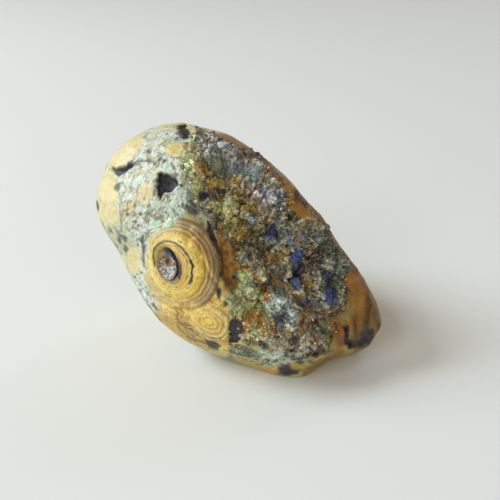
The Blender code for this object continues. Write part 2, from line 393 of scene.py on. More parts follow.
# The orbs.
# Each grew outward from a seed in the silica, layer by layer. The eye is the largest. Its middle stayed open,
# and its layers are crowded on its left and wide on its right.
EYE_RINGS = (
    # growth, middle (u, v), half width, half height
    (0.0, 167.0, 269.0, 1.0, 1.4),
    (0.62, 169.5, 267.0, 10.8, 16.4),
    (1.0, 172.0, 265.5, 19.6, 25.0),
    (1.85, 177.5, 264.5, 30.8, 38.0),
    (2.6, 182.0, 264.0, 40.0, 48.0),
    (3.4, 187.0, 264.0, 50.0, 58.0),
)
EYE_TILT = 18
ORBS = (
    # middle (u, v), half width, half height, tilt, how plainly its layers show
    (209, 322, 25, 17, 30, 0.95),
    (126, 149, 23, 11, -48, 0.3),
    (176.5, 150, 11.5, 8, 0, 0.6),
    (145.5, 194, 7.5, 11.5, 8, 0.25),
    (108.5, 190, 10.5, 13, 0, 0.3),
    (111.5, 214.5, 7.5, 10, -15, 0.3),
    (129, 207, 4.5, 6.5, 0, 0.2),
    (133.5, 260, 7, 14, -6, 0.25),
)
HIDDEN_ORBS = 34
# The milky bays that cut into the eye's outer layers.
BAY_ABOVE_EYE = [
    (120, 236), (141, 240), (146, 232), (160, 224), (176, 218), (184, 206), (150, 196), (120, 200),
]
BAY_LEFT_OF_EYE = [(142, 238), (144, 262), (146, 282), (154, 302), (140, 310), (120, 280), (120, 236)]


def eye_growth_at():
    """How many layers out from the eye's middle a point is, on rings whose middles drift to the right."""
    growth_steps = [ring[0] for ring in EYE_RINGS]
    turn = math.radians(EYE_TILT)
    u = pixel_u + 0.9 * wander_u
    v = pixel_v + 0.9 * wander_v
    growth = np.ones(len(u))
    for _ in range(14):
        middle_u, middle_v, half_width, half_height = (
            np.interp(growth, growth_steps, [ring[part] for ring in EYE_RINGS]) for part in (1, 2, 3, 4)
        )
        along = (u - middle_u) * math.cos(turn) - (v - middle_v) * math.sin(turn)
        aside = (u - middle_u) * math.sin(turn) + (v - middle_v) * math.cos(turn)
        out = np.hypot(along / half_width, aside / half_height)
        growth = np.clip(growth * (0.4 + 0.6 * out), 0.02, 3.4)
    return growth


eye_growth = eye_growth_at()
eye_share = facing * (1 - smooth_step(2.42, 2.6, eye_growth))
eye_share *= 1 - inside(BAY_ABOVE_EYE, 2, 4)
eye_share *= 1 - inside(BAY_LEFT_OF_EYE, 1.2, 1.5)

orb_growth = np.full(len(ways), 2.0)
orb_rings = np.zeros(len(ways))
for *place, rings in ORBS:
    distance = np.where(facing > 0.3, oval(*place, 1.6), 2.0)
    orb_rings = np.where(distance < orb_growth, rings, orb_rings)
    orb_growth = np.minimum(orb_growth, distance)

random = np.random.default_rng(21)
hidden_orbs = []
for index in random.integers(0, len(ways), 4000):
    middle = body_points[index]
    unseen = (middle - np.array(MIDDLE)) @ np.array(view_out) < 2
    apart = min((np.linalg.norm(middle - other) for other, _ in hidden_orbs), default=99)
    if unseen and apart > 5 and len(hidden_orbs) < HIDDEN_ORBS:
        hidden_orbs.append((middle, random.uniform(1.4, 4.2)))
warped = body_points + 0.5 * np.stack((wander_u, wander_v, wander_u), axis=1)
for middle, size in hidden_orbs:
    distance = np.linalg.norm((warped - middle) * (1, 1, random.uniform(0.7, 1.4)), axis=1) / size
    distance = np.where(facing > 0.5, 2.0, distance)
    orb_rings = np.where(distance < orb_growth, random.uniform(0.1, 0.9), orb_rings)
    orb_growth = np.minimum(orb_growth, distance)
on_lower_orb = oval(*ORBS[0][:5], 1.6) < 1.1
from_upper_left = smooth_step(-26, 14, (pixel_u - 206) + 0.7 * (pixel_v - 322))
orb_share = 1 - smooth_step(0.94, 1.04, orb_growth)
orb_share = np.where(on_lower_orb, (0.1 + 0.9 * from_upper_left) * orb_share, orb_share)

# The pits.
# Small hollows that the silica never filled, inked dark inside. The solid has them too, and their edges are
# cut sharp here.
PITS = (
    # outline in the view, depth, how far the edge wanders
    ([(111, 168), (119, 167.5), (128, 166), (133, 161), (132, 168), (125, 173), (119, 177.5)], 0.8, 2.5),
    ([(156.5, 174), (162, 173), (167, 176), (180, 183.5), (175, 188), (167, 190), (160, 198), (157.5, 188)],
     1.0, 5),
    ([(178, 126), (186, 124), (191, 131), (189, 139), (181, 137)], 0.8, 3),
    ([(232, 319), (243, 318), (245, 330), (238, 342), (229, 343), (231, 332)], 0.5, 7),
    ([(207, 222), (211, 224), (217, 236), (217, 244), (212, 241), (208, 232)], 0.5, 4),
    ([(345, 326), (350, 325), (351, 348), (344, 346)], 0.8, 4),
)
HIDDEN_PITS = 7
MILKY_OUTLINE = [
    (117, 162), (132, 142), (152, 130), (182, 127), (198, 134), (198, 160), (192, 176), (194, 206),
    (176, 222), (156, 230), (146, 240), (143, 262), (146, 282), (152, 302), (140, 298), (130, 280),
    (142, 250), (128, 245), (116, 232), (119, 190),
]
BROWN_BAND_OUTLINE = [
    (217, 230), (226, 232), (237, 252), (241, 266), (241, 280), (232, 292), (224, 286), (222, 262),
]
UNDER_EYE_OUTLINE = [(146, 284), (172, 292), (204, 292), (228, 300), (232, 346), (198, 348), (160, 326)]

pits = np.zeros(len(ways))
pit_relief = np.zeros(len(ways))
for outline, depth, rough in PITS:
    pits = np.maximum(pits, inside(outline, soft=0.8, wander=rough))
    pit_relief -= depth * inside(outline, soft=1.3, wander=rough)

random = np.random.default_rng(22)
hidden_pits = []
pitted = np.zeros(len(ways))
for index in random.integers(0, len(ways), 4000):
    middle = body_points[index]
    unseen = (middle - np.array(MIDDLE)) @ np.array(view_out) < -1 and middle[2] > 3
    apart = min((np.linalg.norm(middle - other) for other in hidden_pits), default=99)
    if unseen and apart > 7 and len(hidden_pits) < HIDDEN_PITS:
        hidden_pits.append(middle)
        stretch = random.uniform(0.6, 1.6, 3)
        distance = np.linalg.norm((warped - middle) * stretch, axis=1) / random.uniform(0.7, 1.5)
        pitted = np.maximum(pitted, (1 - smooth_step(0.85, 1.1, distance)) * (facing < 0.2))
pits = np.maximum(pits, pitted)

milky = inside(MILKY_OUTLINE, 2, 6)
eye_hollow = facing * (1 - smooth_step(0.58, 0.68, eye_growth))
keep_sharp = np.maximum(druse * (1 - smoothed(pits, 10)), smoothed(eye_hollow, 6))
sharp_radii = smoothed(radii, SHARP_ROUNDS)
skin_radii = body_radii + (sharp_radii - body_radii) * np.clip(keep_sharp * 1.3, 0, 1)
skin_radii += druse * lump_relief * (1 - 0.7 * pits)
skin_radii += (0.05 * swells(body_points, 1.1, 31) + 0.04 * swells(body_points, 0.45, 32)) * (1 - druse)
skin_radii += milky * (0.1 * swells(body_points, 0.9, 36) + 0.06 * swells(body_points, 0.4, 37)) * (1 - druse)
skin_radii -= 0.45 * pitted
brown_band = inside(BROWN_BAND_OUTLINE, 1.8, 4)
under_eye = inside(UNDER_EYE_OUTLINE, 3, 3)
rough_skin = np.maximum(brown_band, 0.5 * under_eye)
crinkles = 0.12 * swells(body_points, 0.7, 38) + 0.08 * swells(body_points, 0.35, 39)
skin_radii += rough_skin * crinkles * (1 - druse)
worn_rim = np.maximum(stroke(RIM_LINE, 14, 4, 5), worn_end)
skin_radii += worn_rim * (0.3 * swells(body_points, 2.2, 33) + 0.2 * swells(body_points, 0.9, 34))
stripes = swells(np.stack((pixel_u / 3.2, pixel_v / 22, 0 * pixel_u), axis=1), 1.0, 48)
skin_radii += worn_end * (0.12 * swells(body_points, 1.4, 35) + 0.16 * stripes)
finished = skin_points(skin_radii) + pit_relief[:, None] * np.array(view_out)
finished[:, 2] = np.maximum(finished[:, 2], 0)
set_points(skin_mesh, finished)
skin_normals = vertex_normals(skin_mesh)

# The colours.
# Iron stains the silica ochre and rust, manganese black, and the chalcedony between the orbs is milky and
# bluish. Each mark is laid on the one before it.


def tone(red, green, blue):
    """A colour given as it looks on a screen, 0 to 255, as the light values that the shader takes."""
    shown = np.array((red, green, blue)) / 255
    return np.where(shown <= 0.04045, shown / 12.92, ((shown + 0.055) / 1.055) ** 2.4)


CREAM = tone(202, 190, 138)
OCHRE = tone(206, 182, 100)
TAN = tone(170, 136, 76)
GOLD = tone(202, 150, 48)
ORANGE = tone(184, 116, 34)
BRONZE = tone(112, 74, 34)
BROWN = tone(84, 58, 34)
MILKY = tone(190, 204, 196)
MINT = tone(168, 206, 158)
SAGE = tone(146, 160, 112)
MOSS = tone(62, 60, 34)
SLATE = tone(84, 94, 98)
NAVY = tone(28, 32, 58)
INK = tone(22, 20, 26)
PALE = tone(224, 226, 200)

ground = np.tile(OCHRE, (len(ways), 1))
milk = np.zeros(len(ways))
inked = np.zeros(len(ways))


def lay(mask, colour, strength=1.0):
    """Lays a colour on the ground where mask is 1."""
    global ground
    share = (mask * strength)[:, None]
    ground = ground * (1 - share) + colour * share


def ink(mask, strength=1.0):
    """Adds a black manganese mark, which is laid over everything else."""
    global inked
    inked = np.maximum(inked, mask * strength)


def lay_marks(marks):
    """Lays marks in turn: a shape, its numbers, a colour, a strength, and patterns that break it up, if any.

    A spot's numbers are its middle (u, v), half width, half height, tilt, softness and wander. A stroke has
    its places, width, softness and wander. The inside of an outline has its places, softness and wander.
    """
    for shape, numbers, colour, strength, *patterns in marks:
        mask = shape(*numbers)
        for pattern in patterns:
            mask = mask * pattern
        lay(mask, colour, strength)


def ink_marks(marks):
    """Inks black marks: a shape, its numbers as in lay_marks, a strength, and patterns, if any."""
    for shape, numbers, strength, *patterns in marks:
        mask = shape(*numbers)
        for pattern in patterns:
            mask = mask * pattern
        ink(mask, strength)


cloud = swells(body_points, 3.4, 41)
small_cloud = swells(body_points, 1.2, 42)
grit = swells(body_points, 0.42, 43)
lay(smooth_step(-0.2, 0.5, cloud), CREAM, 0.6)
lay(smooth_step(0.1, 0.6, small_cloud), TAN, 0.4)

# Milky chalcedony fills the back between the orbs, with dark veins and rusty patches.
hidden = 1 - facing
between = smooth_step(0.98, 1.12, orb_growth)
milky_back = smooth_step(-0.15, 0.1, swells(body_points, 7.0, 50))
lay(hidden * between * milky_back, MILKY, 0.8)
lay(hidden * between * smooth_step(0.15, 0.5, swells(body_points, 2.2, 44)), SAGE, 0.7)
lay(hidden * between * smooth_step(0.15, 0.4, swells(body_points, 5.0, 45)), tone(150, 104, 44), 0.85)
veins = np.abs(swells(body_points, 4.0, 46) + 0.3 * small_cloud)
lay(hidden * between * (1 - smooth_step(0.015, 0.05, veins)), INK, 0.85)

# The left end: milky and mint chalcedony between cream orbs.
milk = milky.copy()
lay(milk, MILKY, 0.95)
LEFT_END_MARKS = (
    (spot, (166, 213, 17, 17, 0, 0.4, 6), MINT, 0.95),
    (spot, (166, 218, 11, 10, 0, 0.4, 5), tone(140, 206, 132), 0.9),
    (spot, (164, 166, 12, 13, 0, 0.5, 5), MINT, 0.7),
    (spot, (187, 196, 6, 12, 0, 0.5, 5), tone(150, 196, 140), 0.7),
    (spot, (186, 158, 8, 11, 0, 0.5, 6), tone(188, 176, 108), 0.75),
    (spot, (186, 180, 7, 14, 0, 0.5, 6), tone(172, 178, 116), 0.75),
    (spot, (181, 166, 8, 5, 20, 0.5, 5), ORANGE, 0.55),
    (spot, (172, 199, 9, 5, 0, 0.5, 4), tone(158, 160, 84), 0.75),
    (spot, (148, 137, 20, 6, -10, 0.4, 4), tone(196, 202, 184), 0.8),
    (spot, (140, 128, 16, 4, -20, 0.4, 2), OCHRE, 0.8),
    (spot, (172, 129, 16, 4, 6, 0.4, 3), tone(198, 184, 134), 0.85),
    (spot, (197, 134, 6, 6, 0, 0.4, 3), TAN, 0.7),
    (spot, (134, 226, 8, 22, 0, 0.6, 6), tone(168, 184, 168), 0.6),
    (stroke, ([(126, 178), (129, 186), (125, 190)], 1.6, 0.7, 2), TAN, 0.6),
    (stroke, ([(113, 165.5), (122, 165), (129, 160), (131, 157)], 1.6, 0.6), ORANGE, 0.7),
)
LEFT_END_INK = (
    (stroke, ([(142, 236), (143, 250), (144, 267)], 1.8, 0.6, 1.5), 0.75),
    (stroke, ([(151, 213), (149, 222), (146, 229)], 1.3, 0.5, 2), 0.5),
    (spot, (141.5, 240, 1.6, 4, 0, 0.3, 1), 0.85),
    (stroke, ([(118.5, 188), (120.5, 206), (121.5, 217), (120.5, 231)], 2.0, 0.7, 3), 0.5),
    (stroke, ([(132, 165), (137, 164), (145, 160), (149, 161)], 3.2, 1.0, 4), 0.8),
)
lay_marks(LEFT_END_MARKS)
ink_marks(LEFT_END_INK)
BLACK_GRAINS = (
    # middle (u, v) and size
    (117.7, 187, 3.4), (160.5, 159, 3.0), (149, 151.5, 2.2), (164.5, 162, 2.2), (128, 216, 1.4),
    (138, 226, 1.5), (154, 163, 1.6), (176, 139, 1.8), (183, 206, 1.8),
)
for u, v, size in BLACK_GRAINS:
    ink(spot(u, v, size * 0.9, size * 1.2, 30, 0.4, 2), 0.8)
MOTTLED = (136, 214, 17, 26, 0)
mottled = spot(*MOTTLED, 0.5, 6)
lay(mottled * smooth_step(0.0, 0.3, grit), tone(120, 136, 128), 0.6)
lay(mottled * smooth_step(0.1, 0.4, small_cloud) * smooth_step(-0.1, 0.2, grit), tone(172, 150, 84), 0.5)
ink(mottled * smooth_step(0.4, 0.5, grit), 0.6)
LEFT_EDGE_OUTLINE = [
    (99, 219), (104, 224), (112, 227), (120, 226), (127, 236), (130, 250), (120, 254), (108, 242),
]
left_edge = inside(LEFT_EDGE_OUTLINE, 1.5, 3)
lay(left_edge, tone(128, 134, 112), 0.9)
ink(left_edge * smooth_step(0.1, 0.3, swells(body_points, 0.6, 55)), 0.75)
lay(left_edge * smooth_step(-0.1, -0.4, swells(body_points, 0.6, 55)), tone(198, 196, 160), 0.6)
LEFT_SEAM = (150, 300)
LEFT_FLANK_INK_AND_SHADE = (
    # The first mark is painted shade on the left edge, where the skin turns away.
    (spot, (96.5, 205, 2.5, 6, -15, 0.3, 0.5), 0.9),
    (stroke, ([(122, 266), (131, 282), (147, 304), (160, 320)], 2.2, 0.8, 2), 0.5),
)
ink_marks(LEFT_FLANK_INK_AND_SHADE)
lay(spot(*LEFT_SEAM, 5, 15, -35, 0.5, 5), MILKY, 0.85)
milk = np.maximum(milk, spot(*LEFT_SEAM, 6, 16, -35, 0.5, 4))
orb_wall = np.abs(orb_growth - 1.06) < 0.09
outer_wall = np.abs(orb_growth - 1.17) < 0.035
lay(facing * orb_wall * (pixel_u < 160) * (pixel_v < 285), tone(160, 172, 140), 0.9)
broken_up = smooth_step(-0.1, 0.3, small_cloud)
ink(facing * outer_wall * (pixel_u < 160) * (pixel_v < 285) * broken_up, 0.45)

# Round the eye: tan matrix below, streaks of grey and brown to its right, and a painted shadow line along the
# ledge there.
TAN_MATRIX_OUTLINE = [(150, 304), (190, 290), (225, 298), (234, 318), (226, 352), (196, 346), (160, 330)]
lay(inside(TAN_MATRIX_OUTLINE, 3, 3), tone(240, 212, 100), 0.85)
flow = swells(np.stack((eye_growth * 13, 0 * eye_growth, 0 * eye_growth), axis=1), 1.0, 53)
lay(under_eye * smooth_step(0.05, 0.4, flow), tone(182, 134, 60), 0.6)
lay(under_eye * smooth_step(0.25, 0.5, swells(body_points, 0.6, 54)), tone(168, 120, 52), 0.5)
lay(under_eye * smooth_step(0.15, 0.4, grit), tone(172, 122, 52), 0.45)
lay(under_eye * smooth_step(-0.15, -0.4, grit), tone(232, 208, 128), 0.35)
ABOVE_EYE_MARKS = (
    (spot, (192, 211, 8, 5, 25, 0.4, 4), tone(70, 70, 92), 0.85),
    (spot, (204, 222, 11, 8, 30, 0.5, 5), tone(156, 152, 122), 0.8),
    (spot, (204, 220, 13, 9, 35, 0.5, 5), tone(96, 92, 84), 0.6, smooth_step(0.0, 0.35, grit)),
    (spot, (200, 216, 10, 6, 35, 0.5, 4), tone(196, 200, 172), 0.6, smooth_step(-0.1, -0.35, grit)),
    (stroke, ([(214, 252), (216, 262), (216, 272)], 1.8, 0.7, 1), tone(186, 182, 164), 0.8),
)
BESIDE_EYE_INK_AND_SHADOW = (
    (spot, (191, 210, 6.5, 4, 25, 0.4, 4), 0.6),
    # Painted shadow: the long stroke darkens the ledge where the eye's raised mound drops to the broken face.
    (stroke, ([(214, 238), (219, 250), (222, 262), (223, 276)], 3.4, 0.9, 3), 0.95),
    (spot, (219, 293, 2.8, 6.5, 0, 0.3, 1.5), 0.95),
)
lay_marks(ABOVE_EYE_MARKS)
ink_marks(BESIDE_EYE_INK_AND_SHADOW)
# The brown band is the wall down to the broken face: its own orange-brown, deepened as painted shade.
lay(brown_band, tone(134, 82, 12), 0.9)
lay(brown_band * smooth_step(0.1, 0.4, swells(body_points, 0.5, 60)), tone(178, 126, 40), 0.6)
lay(brown_band * smooth_step(-0.1, -0.4, swells(body_points, 0.5, 60)), tone(70, 44, 16), 0.6)
BELOW_EYE_MARKS = (
    (spot, (231, 264, 8, 26, -8, 0.4, 6), tone(84, 52, 22), 0.6, smooth_step(-0.1, 0.3, grit)),
    (stroke, ([(226, 244), (231, 262), (233, 280)], 3, 1.5, 5), tone(188, 140, 60), 0.5),
    (stroke, ([(203, 333), (208, 336), (214, 338.5), (222, 337), (227, 329), (227, 318)], 2.0, 0.8, 1.5),
     tone(116, 108, 124), 0.8),
    (stroke, ([(178, 323), (184, 324), (190, 330), (195, 338)], 1.4, 0.6, 3), tone(70, 62, 46), 0.8),
    (stroke, ([(178, 325), (182, 331), (189, 337), (197, 341), (205, 344)], 1.8, 0.8, 3),
     tone(56, 62, 54), 0.85),
    (stroke, ([(182, 328), (188, 333), (195, 338)], 3.0, 1.2, 3), tone(168, 156, 96), 0.6),
    (stroke, ([(184, 322), (192, 326), (199, 331), (206, 336)], 2.0, 0.8, 3), tone(92, 72, 52), 0.8),
    (spot, (199, 332.5, 4, 2.4, 20, 0.3, 2), BROWN, 0.85),
    (stroke, ([(175, 309), (177.5, 313), (177, 320)], 1.8, 0.7, 2), tone(150, 96, 40), 0.85),
    (stroke, ([(179, 309), (183, 312), (181, 318)], 1.4, 0.6, 2), tone(150, 96, 40), 0.7),
    (inside, ([(204, 339), (212, 340), (221, 347), (218, 352), (208, 347)], 1.2, 2.5),
     tone(34, 36, 52), 0.95),
)
lay_marks(BELOW_EYE_MARKS)

# The base and its rim: gold along the bottom edge, mint and black above it.
BASE_OUTLINE = [
    (226, 346), (262, 344), (300, 350), (322, 350), (312, 362), (296, 376), (262, 372), (228, 360),
]
STREAKED_BASE_OUTLINE = [(226, 346), (262, 344), (322, 352), (340, 350), (312, 364), (290, 376), (228, 362)]
BASE_MARKS = (
    (inside, (BASE_OUTLINE, 2.5, 4), SAGE, 0.95),
    (spot, (275, 355, 13, 10, 0, 0.5, 5), tone(204, 226, 180), 0.95),
    (spot, (246, 351, 17, 5.5, 5, 0.3, 4), INK, 0.85, smooth_step(0.0, 0.25, grit)),
    (spot, (262, 352, 12, 3, 10, 0.4, 3), tone(214, 220, 204), 0.6),
)
BASE_CRACKS = (
    [(226, 350), (236, 354), (246, 354), (258, 359)],
    [(232, 345), (244, 348), (256, 352), (262, 352)],
    [(262, 364), (270, 360), (278, 362)],
    [(284, 352), (292, 356), (300, 360), (306, 358)],
)
MILKY_BASE = (277, 355, 22, 9, 4)
MINT_BASE = (275, 354, 14, 7, 0)
lay_marks(BASE_MARKS)
milk = np.maximum(milk, 0.9 * spot(*MILKY_BASE, 0.4, 6))
for places in BASE_CRACKS:
    ink(stroke(places, 2.4, 0.8, 5) * smooth_step(-0.25, 0.1, grit), 0.85)
along_base = (pixel_u + 0.25 * pixel_v) / 10
across_base = (pixel_v - 0.25 * pixel_u) / 1.9
on_base = np.stack((along_base, across_base, 0 * pixel_u), axis=1)
base_streaks = swells(on_base + 0.3 * wander_u[:, None], 1.0, 56)
base_zone = inside(STREAKED_BASE_OUTLINE, 2.5, 4)
dark_streaks = (smooth_step(0.2, 0.4, base_streaks) - spot(*MINT_BASE, 0.5, 4)).clip(0, 1)
lay(base_zone * dark_streaks, tone(58, 64, 52), 0.7)
lay(base_zone * smooth_step(-0.2, -0.4, base_streaks), tone(208, 168, 82), 0.75)
lay(base_zone * smooth_step(0.2, 0.5, grit) * smooth_step(-0.2, 0.2, base_streaks), tone(214, 224, 200), 0.6)
BOTTOM_MARKS = (
    (stroke, ([(236, 361), (256, 368), (275, 372)], 5.5, 2.0, 2), tone(208, 160, 66), 0.95),
    (spot, (289, 369, 11, 6, -4, 0.3, 3), tone(34, 34, 52), 0.95),
    (spot, (297, 365.5, 6, 4, -10, 0.3, 2), tone(186, 156, 60), 0.9),
    (stroke, ([(289, 352), (294, 358), (302, 362)], 4, 1.2, 2), tone(44, 54, 60), 0.85),
    (spot, (287, 347.5, 10, 4, 25, 0.4, 3), ORANGE, 0.85),
    (stroke, ([(304, 372), (322, 362), (342, 352)], 6, 2, 2), tone(150, 112, 48), 0.85),
)
lay_marks(BOTTOM_MARKS)

# The broken face: sugary greens, greys and blues, with rusty walls between its lumps. Its seams carry painted
# shade, its ridges painted highlights, and its glassy parts painted blue reflections.
lay(druse, tone(88, 90, 62), 0.95)
lay(druse * smooth_step(-0.1, 0.4, cloud), MOSS, 0.6)
lay(druse * smooth_step(0.0, 0.5, small_cloud), SLATE, 0.55)
lay(druse * smooth_step(0.6, 0.7, small_numbers), tone(128, 134, 118), 0.5)
lay(druse * smooth_step(0.3, 0.1, small_numbers), tone(44, 42, 30), 0.7)
lay(druse * smooth_step(0.8, 0.86, coarse_numbers), tone(150, 160, 162), 0.6)
lay(druse * smooth_step(0.2, 0.12, coarse_numbers), tone(160, 128, 52), 0.6)
ground *= (1 + druse * (0.8 * coarse_numbers - 0.4 + 0.8 * fine_numbers - 0.4))[:, None]
# Painted highlights along the ridges of the crystal points.
lit_ridges = druse * np.maximum(coarse_ridges, 0.8 * fine_ridges)
lay(lit_ridges * smooth_step(-0.4, 0.3, swells(body_points, 1.9, 57)), tone(226, 218, 168), 0.5)
GREY_TOP_OUTLINE = [
    (196, 128), (216, 132), (244, 146), (264, 162), (262, 176), (240, 172), (214, 168), (200, 152),
]
UPPER_BREAK_MARKS = (
    (inside, (GREY_TOP_OUTLINE, 4, 6), tone(158, 172, 174), 0.7),
    (spot, (222, 152, 9, 5, 30, 0.5, 4), tone(58, 60, 50), 0.7),
    (spot, (236, 164, 10, 3, 30, 0.5, 3), tone(50, 50, 40), 0.6),
    (spot, (206, 139.5, 5, 5, 0, 0.5, 2), BRONZE, 0.8),
    (spot, (250, 158, 16, 8, 30, 0.5, 5), tone(176, 180, 168), 0.6),
    (spot, (216, 166, 15, 13, 20, 0.5, 6), tone(94, 90, 52), 0.8),
    (spot, (188, 160, 7, 28, 4, 0.5, 6), tone(168, 178, 130), 0.85),
    (spot, (187, 146, 5, 4, 0, 0.5, 3), tone(150, 110, 50), 0.7),
    (spot, (200, 178, 10, 18, 0, 0.5, 6), tone(176, 182, 118), 0.8),
    (spot, (200, 166, 6, 5, 0, 0.5, 3), ORANGE, 0.7),
    (spot, (217, 193, 10, 5, 0, 0.3, 3), NAVY, 0.97),
    (spot, (204, 196, 5, 6, 0, 0.4, 3), tone(40, 54, 84), 0.9),
    (stroke, ([(208, 185), (218, 184), (227, 186)], 4.0, 1.0, 2), GOLD, 0.95),
    (spot, (224, 205, 17, 11, 30, 0.5, 6), tone(190, 194, 140), 0.85),
    (spot, (232, 222, 11, 10, 30, 0.5, 6), tone(168, 164, 98), 0.8),
    (spot, (240, 233, 9, 7, 30, 0.5, 5), tone(172, 138, 64), 0.75),
    (spot, (235.4, 175.5, 6.4, 5.0, 0, 0.25, 1), GOLD, 0.95),
    (spot, (235.8, 175, 3.2, 2.2, 0, 0.25, 1), tone(190, 184, 130), 0.95),
    (spot, (250, 174, 8, 7, 0, 0.5, 4), tone(176, 192, 186), 0.75),
    (spot, (266, 190, 18, 13, 10, 0.4, 4), tone(182, 182, 182), 0.85),
    (spot, (263, 191, 5, 4, -35, 0.4, 2), tone(98, 114, 152), 0.9),
    (spot, (282, 194, 6, 6, 0, 0.4, 2), tone(92, 94, 118), 0.9),
    (stroke, ([(269, 179), (277, 180), (286, 184), (293, 194), (295, 203), (290, 211)], 2.8, 1.0, 1.5),
     PALE, 0.85),
    (spot, (272, 208, 17, 8, 20, 0.4, 5), tone(116, 122, 124), 0.75),
    (spot, (289.5, 201, 3, 3.4, 0, 0.4, 1), GOLD, 0.8),
    (spot, (272, 233, 9, 9, 0, 0.3, 2), tone(50, 56, 78), 0.9),
    (spot, (281, 226, 7, 6, 0, 0.4, 3), tone(124, 136, 142), 0.8),
    # A painted blue highlight.
    (spot, (296, 239, 9, 10, 0, 0.4, 3), tone(100, 128, 160), 0.9),
    (spot, (293, 247, 4, 5, 0, 0.4, 2), tone(196, 204, 200), 0.8),
    (spot, (299.5, 219.5, 6, 5, 30, 0.4, 2), tone(34, 36, 42), 0.9),
)
lay_marks(UPPER_BREAK_MARKS)
lay(bare_patch, tone(160, 108, 38), 0.95)
RINGED_ORB = (307.5, 231.5, 12, 12.5, 0)
RINGED_ORB_LAYERS = (
    # how far out, half width, colour
    (1.0, 0.14, tone(178, 166, 132)),
    (0.78, 0.12, tone(96, 76, 44)),
    (0.55, 0.16, tone(110, 108, 84)),
    (0.25, 0.22, tone(62, 52, 44)),
)
for distance, width, colour in RINGED_ORB_LAYERS:
    ring = 1 - smooth_step(width, width + 0.12, np.abs(oval(*RINGED_ORB, 1.5) - distance))
    lay(facing * ring, colour, 0.85)
RIGHT_BREAK_MARKS = (
    (spot, (322, 242, 9, 13, -20, 0.5, 4), tone(96, 112, 108), 0.7),
    (spot, (334, 260, 9, 16, -20, 0.5, 4), tone(78, 78, 54), 0.8),
    (spot, (318, 262, 11, 14, -20, 0.5, 5), tone(50, 36, 18), 0.9),
)
lay_marks(RIGHT_BREAK_MARKS)
lay(green_cells, tone(156, 166, 116), 0.95)
WALL_ABOVE_GREEN = [(235, 267), (247, 270), (258, 277), (261, 284)]
WALL_RIGHT_OF_GREEN = [(262, 286), (267, 292), (266, 302), (262, 309), (253, 316), (243, 320), (236, 316)]
LOWER_BREAK_MARKS = (
    (stroke, (WALL_ABOVE_GREEN, 2.6, 1.0, 2), ORANGE, 0.85),
    (stroke, (WALL_RIGHT_OF_GREEN, 2.8, 1.0, 2), ORANGE, 0.85),
    (stroke, ([(256, 294), (250, 299), (245, 303)], 1.8, 0.8, 2), ORANGE, 0.6),
    (spot, (255.6, 283.5, 5.5, 5.5, 20, 0.3, 2), tone(58, 54, 66), 0.9),
    (spot, (250, 296, 8, 7, 0, 0.4, 2), tone(168, 178, 142), 0.8),
    (spot, (251, 307, 8, 6, 0, 0.4, 2), tone(160, 170, 118), 0.8),
    (spot, (264, 256, 20, 16, 0, 0.5, 6), tone(54, 52, 30), 0.8),
    (spot, (280, 282, 12, 16, 0, 0.5, 6), tone(52, 56, 46), 0.8),
    (spot, (284, 216, 12, 10, 0, 0.5, 5), tone(62, 62, 48), 0.75),
    (spot, (240, 228, 8, 6, 0, 0.5, 4), tone(96, 88, 44), 0.6),
    (spot, (252, 250, 9, 6, 20, 0.5, 4), tone(110, 110, 88), 0.6),
    (spot, (260, 268, 11, 5, 20, 0.5, 3), tone(150, 152, 134), 0.7),
    (stroke, ([(288, 250), (289, 270), (291, 292)], 4.4, 1.4, 3), tone(216, 212, 170), 0.9),
    # A painted blue reflection on glassy quartz.
    (spot, (296.5, 257.5, 8, 5, -38, 0.3, 2), tone(54, 74, 134), 1.0),
    (inside, ([(291, 264), (304, 262), (309, 274), (304, 290), (296, 290), (292, 276)], 2, 2),
     tone(26, 30, 52), 0.95),
    # A painted blue highlight.
    (spot, (300, 284, 3.2, 4.6, 0, 0.3, 1), tone(96, 122, 160), 0.95),
    (spot, (309.5, 282, 6, 8, 0, 0.3, 2), tone(104, 100, 54), 0.85),
    (spot, (308, 258, 9, 8, 0, 0.5, 3), tone(84, 62, 34), 0.8),
    (inside, ([(323, 272), (330, 276), (335, 298), (328, 304), (320, 298)], 2, 2), tone(26, 30, 52), 0.95),
    # A painted blue highlight.
    (spot, (323, 298, 4, 3, 0, 0.4, 1), tone(54, 64, 104), 0.8),
    (spot, (344, 292, 9, 10, 0, 0.4, 3), tone(52, 48, 34), 0.85),
    (spot, (313, 297, 9, 9, 0, 0.5, 4), tone(40, 36, 28), 0.85),
    (spot, (336, 312, 10, 12, 0, 0.5, 4), tone(92, 62, 26), 0.85),
    (spot, (281, 309, 15, 13, 0, 0.4, 4), tone(206, 222, 220), 0.95),
    (spot, (281, 320, 7, 8, 20, 0.4, 3), tone(84, 90, 108), 0.85),
    (spot, (269, 318, 7, 10, 0, 0.5, 4), tone(184, 198, 158), 0.8),
    (spot, (270, 330, 6, 7, 0, 0.5, 3), tone(160, 130, 94), 0.7),
    (spot, (281, 337, 11, 5, 0, 0.4, 3), tone(96, 64, 36), 0.8),
    (spot, (254.5, 330, 10.5, 11, 0, 0.2, 1), ORANGE, 0.85),
    (spot, (254.5, 330, 8.2, 8.6, 0, 0.25, 1), tone(150, 164, 120), 0.95),
)
lay_marks(LOWER_BREAK_MARKS)
LITTLE_ORBS = ((305, 325, 10), (314, 337, 9), (298, 338, 8), (320, 316.5, 12))
for middle_u, middle_v, size in LITTLE_ORBS:
    rings = oval(middle_u, middle_v, size, size, 0, 2.0)
    lay(facing * (1 - smooth_step(0.9, 1.1, rings)), tone(126, 108, 82), 0.8)
    lay(facing * (1 - smooth_step(0.08, 0.2, np.abs(rings - 0.85))), tone(168, 144, 112), 0.6)
    lay(facing * (1 - smooth_step(0.08, 0.2, np.abs(rings - 0.55))), tone(126, 80, 40), 0.6)
    lay(facing * (1 - smooth_step(0.3, 0.45, rings)), tone(70, 74, 92), 0.8)
